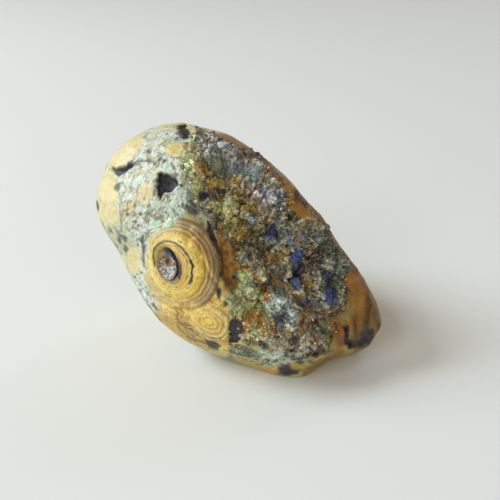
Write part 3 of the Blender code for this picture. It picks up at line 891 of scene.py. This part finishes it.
LOWEST_BREAK_MARKS = (
    (spot, (302, 348, 7, 5, -20, 0.4, 2), tone(196, 184, 168), 0.8),
    (spot, (316, 351, 9, 5, -25, 0.4, 3), tone(56, 48, 56), 0.9),
    (spot, (330, 343, 7, 6, -30, 0.4, 2), tone(150, 142, 84), 0.8),
)
lay_marks(LOWEST_BREAK_MARKS)
left_of_break = smooth_step(330, 230, pixel_u)
ground *= (1 + druse * (0.25 + 0.45 * left_of_break))[:, None]
ground *= (1 + druse * (0.4 * coarse_numbers - 0.2 + 0.5 * fine_numbers - 0.25))[:, None]
ground = np.clip(ground, 0, 1)
# Painted shade in the seams between the lumps and the valleys between the crystal points.
lay(druse * np.maximum(0.75 * big_seams, 0.5 * small_seams), tone(32, 28, 24), 0.8)
lay(druse * np.maximum(coarse_valleys, 0.7 * fine_valleys), tone(24, 22, 22), 0.6)
# Painted highlights along the ridges of the crystal points.
lit_ridges = druse * np.maximum(coarse_ridges, 0.7 * fine_ridges)
lay(lit_ridges * smooth_step(-0.2, 0.4, swells(body_points, 1.4, 58)), tone(234, 232, 204), 0.5)
DEEPENING_MARKS = (
    (spot, (317, 263, 9, 13, -20, 0.5, 4), tone(40, 28, 14), 0.55),
    (spot, (282, 277, 9, 13, 0, 0.5, 5), tone(62, 80, 84), 0.45),
    # A painted blue highlight.
    (spot, (298, 237, 10, 9, 0, 0.5, 4), tone(104, 130, 158), 0.5),
    (spot, (338, 268, 7, 15, -14, 0.5, 4), tone(84, 104, 108), 0.5),
    (spot, (240, 158, 26, 10, 30, 0.5, 6), tone(176, 196, 206), 0.22),
    (spot, (300, 300, 8, 5, 20, 0.4, 3), tone(26, 28, 40), 0.7),
)
lay_marks(DEEPENING_MARKS)
# The stains are strong, so the break's colours are deepened.
stained = druse * (0.05 + 0.25 * smooth_step(225, 265, pixel_u))
ground += stained[:, None] * (ground - ground.mean(axis=1, keepdims=True))
ground = np.clip(ground, 0, 1)
PALE_RIDGE_MARKS = (
    (stroke, ([(286, 258), (288, 272), (290, 294)], 5.0, 1.6, 3), tone(222, 218, 176), 0.85),
    (stroke, ([(268, 236), (276, 244), (284, 248)], 3.0, 1.2, 3), tone(176, 178, 150), 0.6),
)
lay_marks(PALE_RIDGE_MARKS)
# The glassy patches are dark navy, with painted blue reflections laid over parts of them.
lay(glassy, tone(22, 24, 42), 0.9)
lay(glassy * smooth_step(0.1, 0.5, swells(body_points, 0.9, 59)), tone(62, 80, 128), 0.7)
# Painted blue highlights: reflections in the glassy quartz.
BLUE_GLINTS = (
    (spot, (296, 257, 6, 3.4, -38, 0.4, 2), tone(62, 88, 150), 0.8),
    (spot, (300, 284, 3.0, 5.0, 0, 0.4, 2), tone(88, 118, 166), 0.8),
    (spot, (327, 296, 4.5, 4, 0, 0.4, 2), tone(56, 72, 132), 0.8),
)
lay_marks(BLUE_GLINTS)
RUSTY_WALLS = (
    WALL_ABOVE_GREEN,
    [(258, 286), (250, 296), (245, 303)],
    WALL_RIGHT_OF_GREEN,
    [(256, 342), (246, 336), (243, 326), (250, 319), (260, 320)],
    [(262, 345), (276, 347), (290, 350)],
)
for places in RUSTY_WALLS:
    lay(stroke(places, 4.0, 2.0, 5) * (0.35 + 0.65 * smooth_step(-0.3, 0.3, grit)), tone(168, 114, 42), 0.7)
rust_walls = np.maximum(big_seams, 0.7 * small_seams) * smooth_step(0.15, 0.5, swells(body_points, 3.0, 49))
lay(druse * rust_walls, tone(158, 114, 46), 0.8)

# The rim round the top right and the worn right end are brown and smooth, with dark stripes.
RIM_MARKS = (
    (stroke, (RIM_LINE, 11, 3, 5), tone(136, 90, 22), 0.92),
    (stroke, (RIM_LINE, 11, 3, 5), tone(64, 44, 20), 0.7, smooth_step(-0.1, 0.3, small_cloud)),
    (stroke, (RIM_LINE, 11, 3, 5), tone(176, 128, 48), 0.5, smooth_step(0.1, 0.4, grit)),
    (spot, (213, 129, 10, 4, 15, 0.4, 2), tone(212, 196, 154), 0.85),
    (stroke, ([(240, 143), (252, 149)], 5, 1.5, 2), tone(176, 142, 78), 0.8),
    (spot, (300, 198, 6, 9, -40, 0.4, 3), tone(70, 46, 28), 0.8),
    (spot, (326, 230, 5, 8, -30, 0.4, 3), tone(58, 40, 26), 0.85),
    (spot, (352, 280, 9, 10, -20, 0.4, 3), tone(166, 106, 20), 0.9),
)
lay_marks(RIM_MARKS)
lay(worn_end, tone(130, 88, 16), 0.95)
lay(worn_end * smooth_step(0.0, 0.4, small_cloud), tone(96, 66, 28), 0.6)
WORN_END_STAINS = (
    (spot, (350, 311, 6, 8, 20, 0.4, 3), tone(146, 130, 72), 0.7),
    (stroke, ([(366, 300), (368, 314), (366, 326)], 3.0, 1.4, 2), tone(66, 50, 30), 0.6),
)
lay_marks(WORN_END_STAINS)
lay(worn_end * smooth_step(0.1, 0.4, stripes), tone(74, 52, 26), 0.8)
lay(worn_end * smooth_step(-0.2, -0.5, stripes), tone(158, 116, 50), 0.5)
TIP_MARKS = (
    (spot, (341, 334, 6, 14, 8, 0.4, 3), tone(138, 80, 2), 0.9),
    (spot, (354, 343, 10, 5, -10, 0.4, 3), tone(60, 48, 26), 0.8),
)
TIP_INK_AND_SHADE = (
    (inside, ([(360, 334), (368, 326), (373, 332), (374, 342), (358, 348)], 1.5, 4), 1.0),
    # The stroke is painted shade in the gap beside the right lobe; the patch under the tip is black.
    (stroke, ([(345, 328), (348, 340), (352, 346), (362, 346)], 4.5, 1.5, 5), 0.9),
)
lay_marks(TIP_MARKS)
ink_marks(TIP_INK_AND_SHADE)

# How far the skin faces the window light on the left: a painted sheen makes that skin paler, and the hidden
# sides a little.
lit_side = facing * smooth_step(215, 105, pixel_u + 0.25 * (pixel_v - 250)) + 0.15 * hidden

# The stone's finish.
# Worn skin has a dull polish, where the layers show as thin lines. The broken face is rough and glassy.
EYE_LAYERS = (
    # how far out, and the colour as it looks on a screen
    (0.00, (120, 96, 70)), (0.52, (150, 126, 90)), (0.62, (168, 138, 88)), (0.68, (182, 144, 74)),
    (0.72, (210, 174, 76)), (0.80, (222, 188, 92)), (0.845, (206, 166, 72)), (0.86, (160, 112, 50)),
    (0.875, (214, 180, 86)), (0.955, (230, 198, 92)), (0.975, (200, 158, 72)), (1.00, (190, 150, 74)),
    (1.02, (240, 222, 146)), (1.12, (226, 194, 84)), (1.24, (240, 212, 104)), (1.38, (218, 182, 76)),
    (1.50, (240, 208, 100)), (1.58, (192, 150, 68)), (1.66, (182, 138, 60)), (1.72, (212, 174, 86)),
    (1.79, (226, 200, 124)), (1.85, (168, 128, 68)), (1.90, (146, 110, 68)), (1.96, (196, 168, 108)),
    (2.04, (208, 184, 124)), (2.11, (144, 114, 76)), (2.17, (160, 136, 100)), (2.23, (204, 198, 172)),
    (2.29, (160, 130, 84)), (2.36, (188, 150, 84)), (2.44, (120, 86, 58)), (2.52, (74, 56, 52)),
)
ORB_LAYERS = (
    (0.00, (248, 226, 132)), (0.16, (244, 216, 112)), (0.24, (206, 162, 72)), (0.32, (244, 220, 120)),
    (0.42, (202, 158, 72)), (0.50, (242, 216, 122)), (0.60, (202, 160, 78)), (0.68, (238, 214, 122)),
    (0.78, (240, 220, 144)), (0.85, (184, 150, 90)), (0.90, (234, 208, 128)), (0.96, (168, 136, 84)),
    (1.00, (124, 102, 74)),
)


def add_values(mesh, name, values):
    """Keeps a number for each point of the mesh, or a colour, for its shader."""
    if values.ndim == 1:
        mesh.attributes.new(name, "FLOAT", "POINT").data.foreach_set("value", values.astype(np.float32))
    else:
        opaque = np.concatenate((values, np.ones((len(values), 1))), axis=1).astype(np.float32)
        mesh.attributes.new(name, "FLOAT_COLOR", "POINT").data.foreach_set("color", opaque.ravel())


# The pits are inked dark inside.
ink(pits)
# The eye's black ring is thickest on its right, and rows of black dots follow its other rings.
# A dark crescent on the hollow's upper right wall: dark slate-blue chalcedony, partly painted shade.
HOLLOW_WALL_CRESCENT = [
    (160, 252), (165, 249.6), (170.5, 251.2), (175.5, 254.8), (179.2, 260), (181.6, 266), (182.4, 273),
    (180.6, 280), (178.4, 279), (178.4, 272), (176.6, 266), (173.6, 261), (169, 257), (164, 255),
]
LOWER_ORB_EDGE = [(203, 333), (208, 336), (214, 338.5), (222, 337), (227, 331), (229, 322), (227, 314)]
EYE_INK = (
    (stroke, ([(189.5, 260), (191.5, 266), (192, 275), (190, 283)], 3.0, 0.6, 3), 1.0),
    (stroke, ([(184, 252), (188, 257), (190.5, 263)], 1.6, 0.5, 2), 0.8),
    (inside, (HOLLOW_WALL_CRESCENT, 0.7, 0.8), 0.85),
    (stroke, ([(158.5, 257), (158.6, 266), (162, 276), (168, 282.5)], 1.6, 0.8, 1.5), 0.3),
    (stroke, (LOWER_ORB_EDGE, 1.5, 0.6, 1.5), 0.55),
    (stroke, ([(220, 331), (224, 325), (223, 317)], 1.1, 0.5, 1.5), 0.35),
)
ink_marks(EYE_INK)
dotted = smooth_step(0.25, 0.45, swells(body_points, 0.28, 52))
DOTTED_RINGS = ((0.85, 0.8), (1.14, 0.7), (1.3, 0.6), (1.5, 0.7), (1.66, 0.5))
for distance, strength in DOTTED_RINGS:
    ink(eye_share * dotted * (np.abs(eye_growth - distance) < 0.03), strength)
EYE_ARC = [
    (155.3, 265.6), (153.2, 260), (152.7, 254.5), (154.3, 248.4), (158.5, 243.8), (164, 241.4),
    (169.4, 241.1), (175.5, 243.3), (181, 247.3), (185.5, 252.9), (189.5, 259.3),
]
ink(stroke(EYE_ARC, 1.9, 0.6, 1.2), 0.95)
right_of_eye = smooth_step(-0.5, 0.6, (pixel_u - 176) / 30 - (pixel_v - 262) / 70)
ring_contrast = np.where(eye_growth > 1.5, 0.3 + 0.7 * right_of_eye, 1.0)
bare = (1 - pits) * (1 - druse)
add_values(skin_mesh, "ground", ground)
add_values(skin_mesh, "druse", druse)
all_milk = np.clip(milk + 0.8 * hidden * between * milky_back, 0, 1)
add_values(skin_mesh, "milk", all_milk * bare * (1 - orb_share))
add_values(skin_mesh, "inked", inked)
add_values(skin_mesh, "lit_side", lit_side * bare)
add_values(skin_mesh, "eye_growth", eye_growth)
add_values(skin_mesh, "eye_share", eye_share * ring_contrast * bare)
add_values(skin_mesh, "orb_growth", orb_growth)
add_values(skin_mesh, "orb_share", orb_share * bare)
add_values(skin_mesh, "orb_rings", orb_rings)

stone_finish = bpy.data.materials.new("agate_stone")
stone_finish.use_nodes = True
nodes = stone_finish.node_tree.nodes
links = stone_finish.node_tree.links
shader = nodes["Principled BSDF"]


def stored(name):
    node = nodes.new("ShaderNodeAttribute")
    node.attribute_name = name
    return node.outputs["Color" if name == "ground" else "Fac"]


def math_node(operation, first, second=None):
    node = nodes.new("ShaderNodeMath")
    node.operation = operation
    for socket, value in zip(node.inputs, (first, second)):
        if isinstance(value, (int, float)):
            socket.default_value = value
        elif value is not None:
            links.new(value, socket)
    return node.outputs[0]


def range_node(value, low, high, to_low=0.0, to_high=1.0):
    node = nodes.new("ShaderNodeMapRange")
    for name, number in (("From Min", low), ("From Max", high), ("To Min", to_low), ("To Max", to_high)):
        node.inputs[name].default_value = number
    links.new(value, node.inputs["Value"])
    return node.outputs[0]


def mix_colour(share, first, second, blend="MIX"):
    node = nodes.new("ShaderNodeMix")
    node.data_type = "RGBA"
    node.blend_type = blend
    for socket, value in ((node.inputs[0], share), (node.inputs[6], first), (node.inputs[7], second)):
        if isinstance(value, (int, float)):
            socket.default_value = value
        elif isinstance(value, np.ndarray):
            socket.default_value = (*value, 1)
        else:
            links.new(value, socket)
    return node.outputs[2]


def mix_number(share, first, second):
    node = nodes.new("ShaderNodeMix")
    links.new(share, node.inputs[0])
    links.new(first, node.inputs[2])
    links.new(second, node.inputs[3])
    return node.outputs[0]


def layers_ramp(growth, layers, last):
    """The colours of the layers, by how far out they grew."""
    node = nodes.new("ShaderNodeValToRGB")
    ramp = node.color_ramp
    while len(ramp.elements) < len(layers):
        ramp.elements.new(1.0)
    for element, (place, colour) in zip(ramp.elements, layers):
        element.position = place / last
        element.color = (*tone(*colour), 1)
    links.new(range_node(growth, 0, last), node.inputs[0])
    return node.outputs[0]


def noise_node(scale, detail=3.0, vector=None):
    """Noise with about that many swells to a millimetre."""
    node = nodes.new("ShaderNodeTexNoise")
    node.inputs["Scale"].default_value = scale / MM
    node.inputs["Detail"].default_value = detail
    links.new(vector or place, node.inputs["Vector"])
    return node.outputs["Fac"]


def cells_node(scale, feature="F1", output="Distance", vector=None):
    """Rounded cells, about that many to a millimetre."""
    node = nodes.new("ShaderNodeTexVoronoi")
    node.feature = feature
    node.inputs["Scale"].default_value = scale / MM
    links.new(vector or place, node.inputs["Vector"])
    return node.outputs[output]


place = nodes.new("ShaderNodeTexCoord").outputs["Object"]
ground_colour = stored("ground")
druse_share = stored("druse")

# Layers: each ring's colour, broken up by thin streaks that follow the growth.
growth = stored("eye_growth")
jitter = math_node("MULTIPLY", math_node("SUBTRACT", noise_node(0.7, 4), 0.5), 0.16)
growth = math_node("ADD", growth, jitter)
eye_colour = layers_ramp(growth, EYE_LAYERS, 2.6)
orb_step = math_node("ADD", stored("orb_growth"), jitter)
orb_cream = mix_colour(range_node(noise_node(0.4), 0.42, 0.6), CREAM, tone(208, 172, 96))
orb_colour = mix_colour(stored("orb_rings"), orb_cream, layers_ramp(orb_step, ORB_LAYERS, 1.0))
thin_lines = nodes.new("ShaderNodeTexNoise")
thin_lines.noise_dimensions = "1D"
thin_lines.inputs["Scale"].default_value = 22
thin_lines.inputs["Detail"].default_value = 2
links.new(growth, thin_lines.inputs["W"])
line_tone = range_node(thin_lines.outputs["Fac"], 0.35, 0.65, 0.74, 1.25)
eye_colour = mix_colour(1.0, eye_colour, line_tone, "MULTIPLY")
# Painted shade: the eye's layers are darkened on its right, the side turned away from the light.
shaded_eye = mix_colour(1.0, eye_colour, np.array((0.82, 0.81, 0.64)), "MULTIPLY")
eye_colour = mix_colour(range_node(stored("lit_side"), 0.0, 0.14, 0.6, 0.0), eye_colour, shaded_eye)
worn_colour = mix_colour(stored("orb_share"), ground_colour, orb_colour)
worn_colour = mix_colour(stored("eye_share"), worn_colour, eye_colour)

# Milky chalcedony: tiny cells with pale walls, greenish and bluish between, and dark grains.
milk_share = stored("milk")
bend = nodes.new("ShaderNodeTexNoise")
bend.inputs["Scale"].default_value = 0.8 / MM
bend.inputs["Detail"].default_value = 3
links.new(place, bend.inputs["Vector"])
bent = nodes.new("ShaderNodeVectorMath")
bent.operation = "MULTIPLY_ADD"
bent.inputs[1].default_value = (1.6 * MM, 1.6 * MM, 1.6 * MM)
links.new(bend.outputs["Color"], bent.inputs[0])
links.new(place, bent.inputs[2])
bent_place = bent.outputs[0]
wall = range_node(cells_node(0.7, "DISTANCE_TO_EDGE", vector=bent_place), 0.04, 0.14, 1.0, 0.0)
small_wall = range_node(cells_node(1.8, "DISTANCE_TO_EDGE", vector=bent_place), 0.03, 0.16, 1.0, 0.0)
greenish = range_node(noise_node(0.5, 5, bent_place), 0.5, 0.64)
milk_colour = mix_colour(greenish, ground_colour, tone(160, 182, 150))
dim = range_node(noise_node(0.8, 6, bent_place), 0.52, 0.62)
milk_colour = mix_colour(dim, milk_colour, tone(96, 116, 108))
milk_colour = mix_colour(math_node("MULTIPLY", small_wall, 0.4), milk_colour, tone(216, 230, 236))
milk_colour = mix_colour(math_node("MULTIPLY", wall, 0.5), milk_colour, tone(228, 240, 246))
dark_grains = range_node(noise_node(1.1, 7, bent_place), 0.555, 0.59)
milk_colour = mix_colour(dark_grains, milk_colour, tone(56, 62, 76))
tan_grains = range_node(noise_node(0.9, 6, bent_place), 0.58, 0.64)
milk_colour = mix_colour(tan_grains, milk_colour, tone(176, 152, 76))
worn_colour = mix_colour(milk_share, worn_colour, milk_colour)

# Worn skin: faint clouds and dark specks in the silica, and a painted sheen on the skin that faces the light.
mottle = range_node(noise_node(1.7, 5), 0.3, 0.7, 0.84, 1.14)
worn_colour = mix_colour(1.0, worn_colour, mottle, "MULTIPLY")
specks = range_node(cells_node(1.5), 0.10, 0.2, 0.5, 1.0)
worn_colour = mix_colour(0.7, worn_colour, mix_colour(1.0, worn_colour, specks, "MULTIPLY"))
# Painted sheen: skin facing the window light is mixed toward a pale cream.
sheen_share = math_node("MULTIPLY", stored("lit_side"), 0.48)
worn_colour = mix_colour(sheen_share, worn_colour, tone(210, 208, 170))

# Druse: every grain takes its own tone from the ground's, some dark, some pale.
coarse = cells_node(1.3, output="Color")
fine = cells_node(2.8, output="Color")
druse_colour = mix_colour(1.0, ground_colour, range_node(coarse, 0, 1, 0.7, 1.3), "MULTIPLY")
druse_colour = mix_colour(1.0, druse_colour, range_node(fine, 0, 1, 0.65, 1.35), "MULTIPLY")
rusty = range_node(noise_node(0.9, 4), 0.58, 0.66)
druse_colour = mix_colour(math_node("MULTIPLY", rusty, 0.3), druse_colour, tone(142, 104, 44))
stone_colour = mix_colour(druse_share, worn_colour, druse_colour)
ink_colour = mix_colour(range_node(noise_node(1.8, 4), 0.45, 0.65), tone(24, 22, 28), tone(50, 54, 78))
ink_colour = mix_colour(range_node(noise_node(2.6, 5), 0.55, 0.66), ink_colour, tone(84, 66, 50))
stone_colour = mix_colour(stored("inked"), stone_colour, ink_colour)
links.new(stone_colour, shader.inputs["Base Color"])

worn_gloss = range_node(noise_node(0.8, 3), 0.3, 0.7, 0.36, 0.62)
grain_gloss = range_node(fine, 0, 1, 0.1, 0.5)
links.new(mix_number(druse_share, worn_gloss, grain_gloss), shader.inputs["Roughness"])

# Relief: facets of the grains on the druse, and the faintest ripple and layer edges on the skin.
facets = math_node("ADD", cells_node(1.3), math_node("MULTIPLY", cells_node(2.8), 0.5))
ripple = math_node("MULTIPLY", noise_node(3.2, 5), 0.3)
layer_depth = math_node("MULTIPLY", stored("eye_share"), 0.08)
layer_edge = math_node("MULTIPLY", thin_lines.outputs["Fac"], layer_depth)
milk_edge = math_node("MULTIPLY", milk_share, math_node("MULTIPLY", wall, 0.25))
height = math_node("ADD", math_node("MULTIPLY", druse_share, facets), math_node("ADD", ripple, layer_edge))
bump = nodes.new("ShaderNodeBump")
bump.inputs["Strength"].default_value = 0.8
bump.inputs["Distance"].default_value = 0.35 * MM
links.new(math_node("ADD", height, milk_edge), bump.inputs["Height"])
links.new(bump.outputs[0], shader.inputs["Normal"])

skin_mesh.materials.clear()
skin_mesh.materials.append(stone_finish)
agate = bpy.data.objects.new("agate", skin_mesh)
bpy.context.scene.collection.objects.link(agate)
skin_mesh.shade_smooth()
corner_of_face = np.zeros(len(skin_mesh.loops), dtype=np.int32)
skin_mesh.loops.foreach_get("vertex_index", corner_of_face)
rough_faces = druse[corner_of_face.reshape(-1, 4)].mean(axis=1) > 0.5
skin_mesh.polygons.foreach_set("use_smooth", ~rough_faces)
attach(agate, "root")
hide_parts("stone")


# The druse.
# Quartz that crystallised on the break, as small points and grains of many sizes grown fast to the stone.
# Each takes the colour of the stone under it, its stains and its painted shade and highlights alike.
GRAIN_SIZES = (
    # how many, smallest and largest width, least distance between middles, all in mm
    (150, 0.6, 1.0, 1.7),
    (700, 0.36, 0.6, 0.8),
    (1500, 0.2, 0.34, 0.5),
)
POINT_SIDES = 6


def spread_over(places, count, apart, random):
    """Numbers of places, picked at random but no two closer than apart."""
    picked = []
    kept = np.zeros((count, 3))
    for index in random.permutation(len(places)):
        far = np.sum((kept[:len(picked)] - places[index]) ** 2, axis=1) > apart**2
        if far.all():
            kept[len(picked)] = places[index]
            picked.append(index)
        if len(picked) == count:
            break
    return np.array(picked)


def crystal_mesh(name, middles, outward, widths, colours, lean, random):
    """One mesh of short six-sided crystals with their feet sunk in a surface."""
    count = len(middles)
    axes = outward + random.normal(0, lean, (count, 3))
    axes /= np.linalg.norm(axes, axis=1)[:, None]
    side = np.cross(axes, np.where(np.abs(axes[:, 2:]) < 0.9, (0, 0, 1), (1, 0, 0)))
    side /= np.linalg.norm(side, axis=1)[:, None]
    other = np.cross(axes, side)
    sides = 2 * math.pi * np.arange(POINT_SIDES) / POINT_SIDES
    turns = random.uniform(0, 2 * math.pi, count)[:, None] + sides
    ring = side[:, None] * np.cos(turns)[..., None] + other[:, None] * np.sin(turns)[..., None]
    ring *= random.uniform(0.7, 1.2, turns.shape)[..., None]
    half = widths[:, None, None] / 2
    rise = random.uniform(0.0, 0.6, (count, 1, 1)) * half
    steps = random.uniform(-0.15, 0.15, turns.shape)[..., None] * half
    foot = middles[:, None] - 0.9 * half * axes[:, None] + half * ring
    shoulder = middles[:, None] + (rise + steps) * axes[:, None] + 0.92 * half * ring
    tip_lean = random.normal(0, 0.15, (count, 1, 1)) * half
    tip_rise = rise + random.uniform(0.35, 0.9, (count, 1, 1)) * half
    tip = middles[:, None] + tip_rise * axes[:, None] + tip_lean * side[:, None]
    points = np.concatenate((foot, shoulder, tip), axis=1).reshape(-1, 3)
    each = 2 * POINT_SIDES + 1
    faces = []
    for start in range(0, count * each, each):
        above = start + POINT_SIDES
        faces.append([start + corner for corner in reversed(range(POINT_SIDES))])
        for corner in range(POINT_SIDES):
            following = (corner + 1) % POINT_SIDES
            faces.append([start + corner, start + following, above + following, above + corner])
            faces.append([above + corner, above + following, above + POINT_SIDES])
    mesh = bpy.data.meshes.new(name)
    mesh.from_pydata((points * MM).tolist(), [], faces)
    # Painted shade and highlight: each crystal's foot is darkened and its tip brightened.
    foot_shade_tip_highlight = np.array([0.25] * POINT_SIDES + [0.75] * POINT_SIDES + [1.75])
    tints = np.clip(colours[:, None] * foot_shade_tip_highlight[None, :, None], 0, 1).reshape(-1, 3)
    add_values(mesh, "tint", tints)
    return mesh


random = np.random.default_rng(51)
bed = np.flatnonzero((druse > 0.5) & (facing > 0.2) & (glassy < 0.4))
chosen = []
widths = []
for count, narrow, wide, apart in GRAIN_SIZES:
    places = bed[green_cells[bed] < (0.5 if wide > 0.5 else 2)]
    found = spread_over(finished[places], count, apart, random)
    chosen.append(places[found])
    widths.append(random.uniform(narrow, wide, len(found)))
chosen = np.concatenate(chosen)
widths = np.concatenate(widths)
lightness = random.uniform(0.5, 1.4, (len(chosen), 1))
tints = np.clip(ground[chosen] * lightness, 0, 1)
kind = random.uniform(0, 1, len(chosen))
tints[kind < 0.10] = tints[kind < 0.10] * 0.6 + tone(200, 206, 200) * 0.35
tints[(kind > 0.10) & (kind < 0.14)] = tints[(kind > 0.10) & (kind < 0.14)] * 0.4 + tone(176, 138, 56) * 0.5
tints[kind > 0.9] *= 0.45
druse_mesh = crystal_mesh("druse_points", finished[chosen], skin_normals[chosen], widths, tints, 0.35, random)


def quartz_finish(name, gloss, clearness, clouding):
    """Quartz with its tint stored on the mesh, stain and painted shade and highlight together: glassy, a
    little see-through, faintly clouded.
    """
    finish = bpy.data.materials.new(name)
    finish.use_nodes = True
    tree = finish.node_tree
    surface = tree.nodes["Principled BSDF"]
    tint = tree.nodes.new("ShaderNodeAttribute")
    tint.attribute_name = "tint"
    clouds = tree.nodes.new("ShaderNodeTexNoise")
    clouds.inputs["Scale"].default_value = 3 / MM
    darken = tree.nodes.new("ShaderNodeMix")
    darken.data_type = "RGBA"
    darken.blend_type = "MULTIPLY"
    darken.inputs[0].default_value = clouding
    tree.links.new(tint.outputs["Color"], darken.inputs[6])
    tree.links.new(clouds.outputs["Fac"], darken.inputs[7])
    tree.links.new(darken.outputs[2], surface.inputs["Base Color"])
    surface.inputs["Roughness"].default_value = gloss
    surface.inputs["Transmission Weight"].default_value = clearness
    return finish


druse_mesh.materials.append(quartz_finish("druse_quartz", 0.14, 0.0, 0.35))
druse_points = bpy.data.objects.new("druse_points", druse_mesh)
bpy.context.scene.collection.objects.link(druse_points)
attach(druse_points, "root")
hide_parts("stone")


# The crystals in the eye.
# A crust of clear and milky quartz lines the hollow in the eye. Its points are small and crowded, and where a
# hole opens between them the crust is painted dark amber, partly painted shade.
CRUST_MIDDLE = (168.8, 268.6)
CRUST_HALF_SIZES = (8.8, 13.6)
# The cosine and sine of the crust's tilt.
CRUST_TURN = (0.906, 0.423)
EYE_HOLE = (168.8, 262.0)
EYE_HOLE_HALF_SIZES = (2.5, 4.4)
EYE_POINTS = 560
POINTS_PER_FACE = 6

crust_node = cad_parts["eye_crystals"]
crust = crust_node.data.copy()
crust_points = np.array([vertex.co[:] for vertex in crust.vertices]) / MM
crust_normals = vertex_normals(crust)
crust_u, crust_v = view_pixels(crust_points)


def on_crust(u, v):
    """How far a pixel is from the crust's middle, 1 on its edge, and from the dark hole's, likewise."""
    right = u - CRUST_MIDDLE[0]
    down = v - CRUST_MIDDLE[1]
    along = right * CRUST_TURN[0] - down * CRUST_TURN[1]
    aside = right * CRUST_TURN[1] + down * CRUST_TURN[0]
    from_middle = np.hypot(along / CRUST_HALF_SIZES[0], aside / CRUST_HALF_SIZES[1])
    hole_right = (u - EYE_HOLE[0]) / EYE_HOLE_HALF_SIZES[0]
    hole_down = (v - EYE_HOLE[1]) / EYE_HOLE_HALF_SIZES[1]
    return from_middle, np.hypot(hole_right, hole_down)


from_middle, from_hole = on_crust(crust_u, crust_v)
hole_share = (1 - smooth_step(0.8, 1.3, from_hole))[:, None]
edge_share = smooth_step(0.9, 1.15, from_middle)[:, None]
# At the right the crust's edge is dark slate-blue, the hollow's wall with painted shade.
right_share = smooth_step(-3, 3, (crust_u - CRUST_MIDDLE[0]) - 0.6 * (crust_v - 260))[:, None]
edge_tint = tone(226, 194, 128) * (1 - right_share) + tone(88, 92, 132) * right_share
crust_tint = tone(204, 194, 178) * (1 - edge_share) + edge_tint * edge_share
# The hole is painted dark amber: its colour with painted shade for its depth.
crust_tint = crust_tint * (1 - hole_share) + tone(70, 44, 16) * hole_share
add_values(crust, "tint", crust_tint)

random = np.random.default_rng(61)
finer = []
finer_normals = []
for face in crust.polygons:
    corners = np.array([crust_points[index] for index in face.vertices])
    share = random.dirichlet(np.ones(len(corners)), POINTS_PER_FACE)
    finer.append(share @ corners)
    finer_normals.append(np.tile(face.normal[:], (POINTS_PER_FACE, 1)))
finer = np.concatenate(finer)
finer_normals = np.concatenate(finer_normals)
from_middle, from_hole = on_crust(*view_pixels(finer))
seen = (finer_normals @ np.array(view_out) > 0.1) & (from_middle < 1.02)
finer = finer[seen]
finer_normals = finer_normals[seen]
found = spread_over(finer, EYE_POINTS, 0.16, random)
finer = finer[found]
finer_normals = finer_normals[found]
from_middle, from_hole = on_crust(*view_pixels(finer))
whiteness = smooth_step(0.9, 1.8, from_hole)[:, None]
point_tints = (1 - whiteness) * tone(188, 138, 34) + whiteness * tone(250, 245, 232)
point_tints *= random.uniform(0.7, 1.4, (len(finer), 1))
kind = random.uniform(0, 1, len(finer))
point_tints[kind < 0.08] = tone(148, 148, 166)
point_tints[kind > 0.94] = tone(204, 164, 74)
point_tints[(from_middle > 0.85) & (kind > 0.5)] = tone(180, 150, 104)
point_tints = np.clip(point_tints, 0, 1)
point_widths = random.uniform(0.18, 0.42, len(finer)) * (0.6 + 0.4 * whiteness[:, 0])
eye_mesh = crystal_mesh("eye_points", finer, finer_normals, point_widths, point_tints, 0.4, random)

eye_quartz = quartz_finish("eye_quartz", 0.12, 0.1, 0.1)
crust.materials.clear()
crust.materials.append(eye_quartz)
eye_mesh.materials.append(eye_quartz)
for name, mesh in (("eye_crust", crust), ("eye_points", eye_mesh)):
    piece = bpy.data.objects.new(name, mesh)
    bpy.context.scene.collection.objects.link(piece)
    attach(piece, "root")
    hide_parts("eye_crystals")


# The floor and the light.
# A plain pale surface, and soft daylight from a window to the left.
FLOOR_TONE = (222, 224, 220)
bpy.ops.mesh.primitive_plane_add(size=30)
floor = bpy.context.object
floor.name = "floor"
floor_finish = bpy.data.materials.new("floor")
floor_finish.use_nodes = True
floor_finish.node_tree.nodes["Principled BSDF"].inputs["Base Color"].default_value = (*tone(*FLOOR_TONE), 1)
floor_finish.node_tree.nodes["Principled BSDF"].inputs["Roughness"].default_value = 0.7
floor.data.materials.append(floor_finish)


def soft_light(name, place_mm, size_mm, watts, colour):
    data = bpy.data.lights.new(name, "AREA")
    data.size = size_mm * MM
    data.energy = watts
    data.color = colour
    light = bpy.data.objects.new(name, data)
    light.location = Vector(place_mm) * MM
    aim = Vector((0, 0, 12)) - Vector(place_mm)
    light.rotation_euler = aim.to_track_quat("-Z", "Y").to_euler()
    bpy.context.scene.collection.objects.link(light)


soft_light("window", (-620, 40, 500), 330, 5.7, (0.83, 0.91, 1.0))
soft_light("sky_glance", (420, 520, 420), 300, 0.8, (0.70, 0.82, 1.0))
soft_light("front_fill", (-420, -620, 420), 420, 2.1, (0.88, 0.94, 1.0))
soft_light("glint", (-330, -330, 560), 55, 0.4, (1.0, 1.0, 1.0))

world = bpy.data.worlds.new("room")
bpy.context.scene.world = world
world.use_nodes = True
world.node_tree.nodes["Background"].inputs["Color"].default_value = (0.98, 0.84, 0.66, 1)
world.node_tree.nodes["Background"].inputs["Strength"].default_value = 0.36
bpy.context.scene.view_settings.view_transform = "Standard"
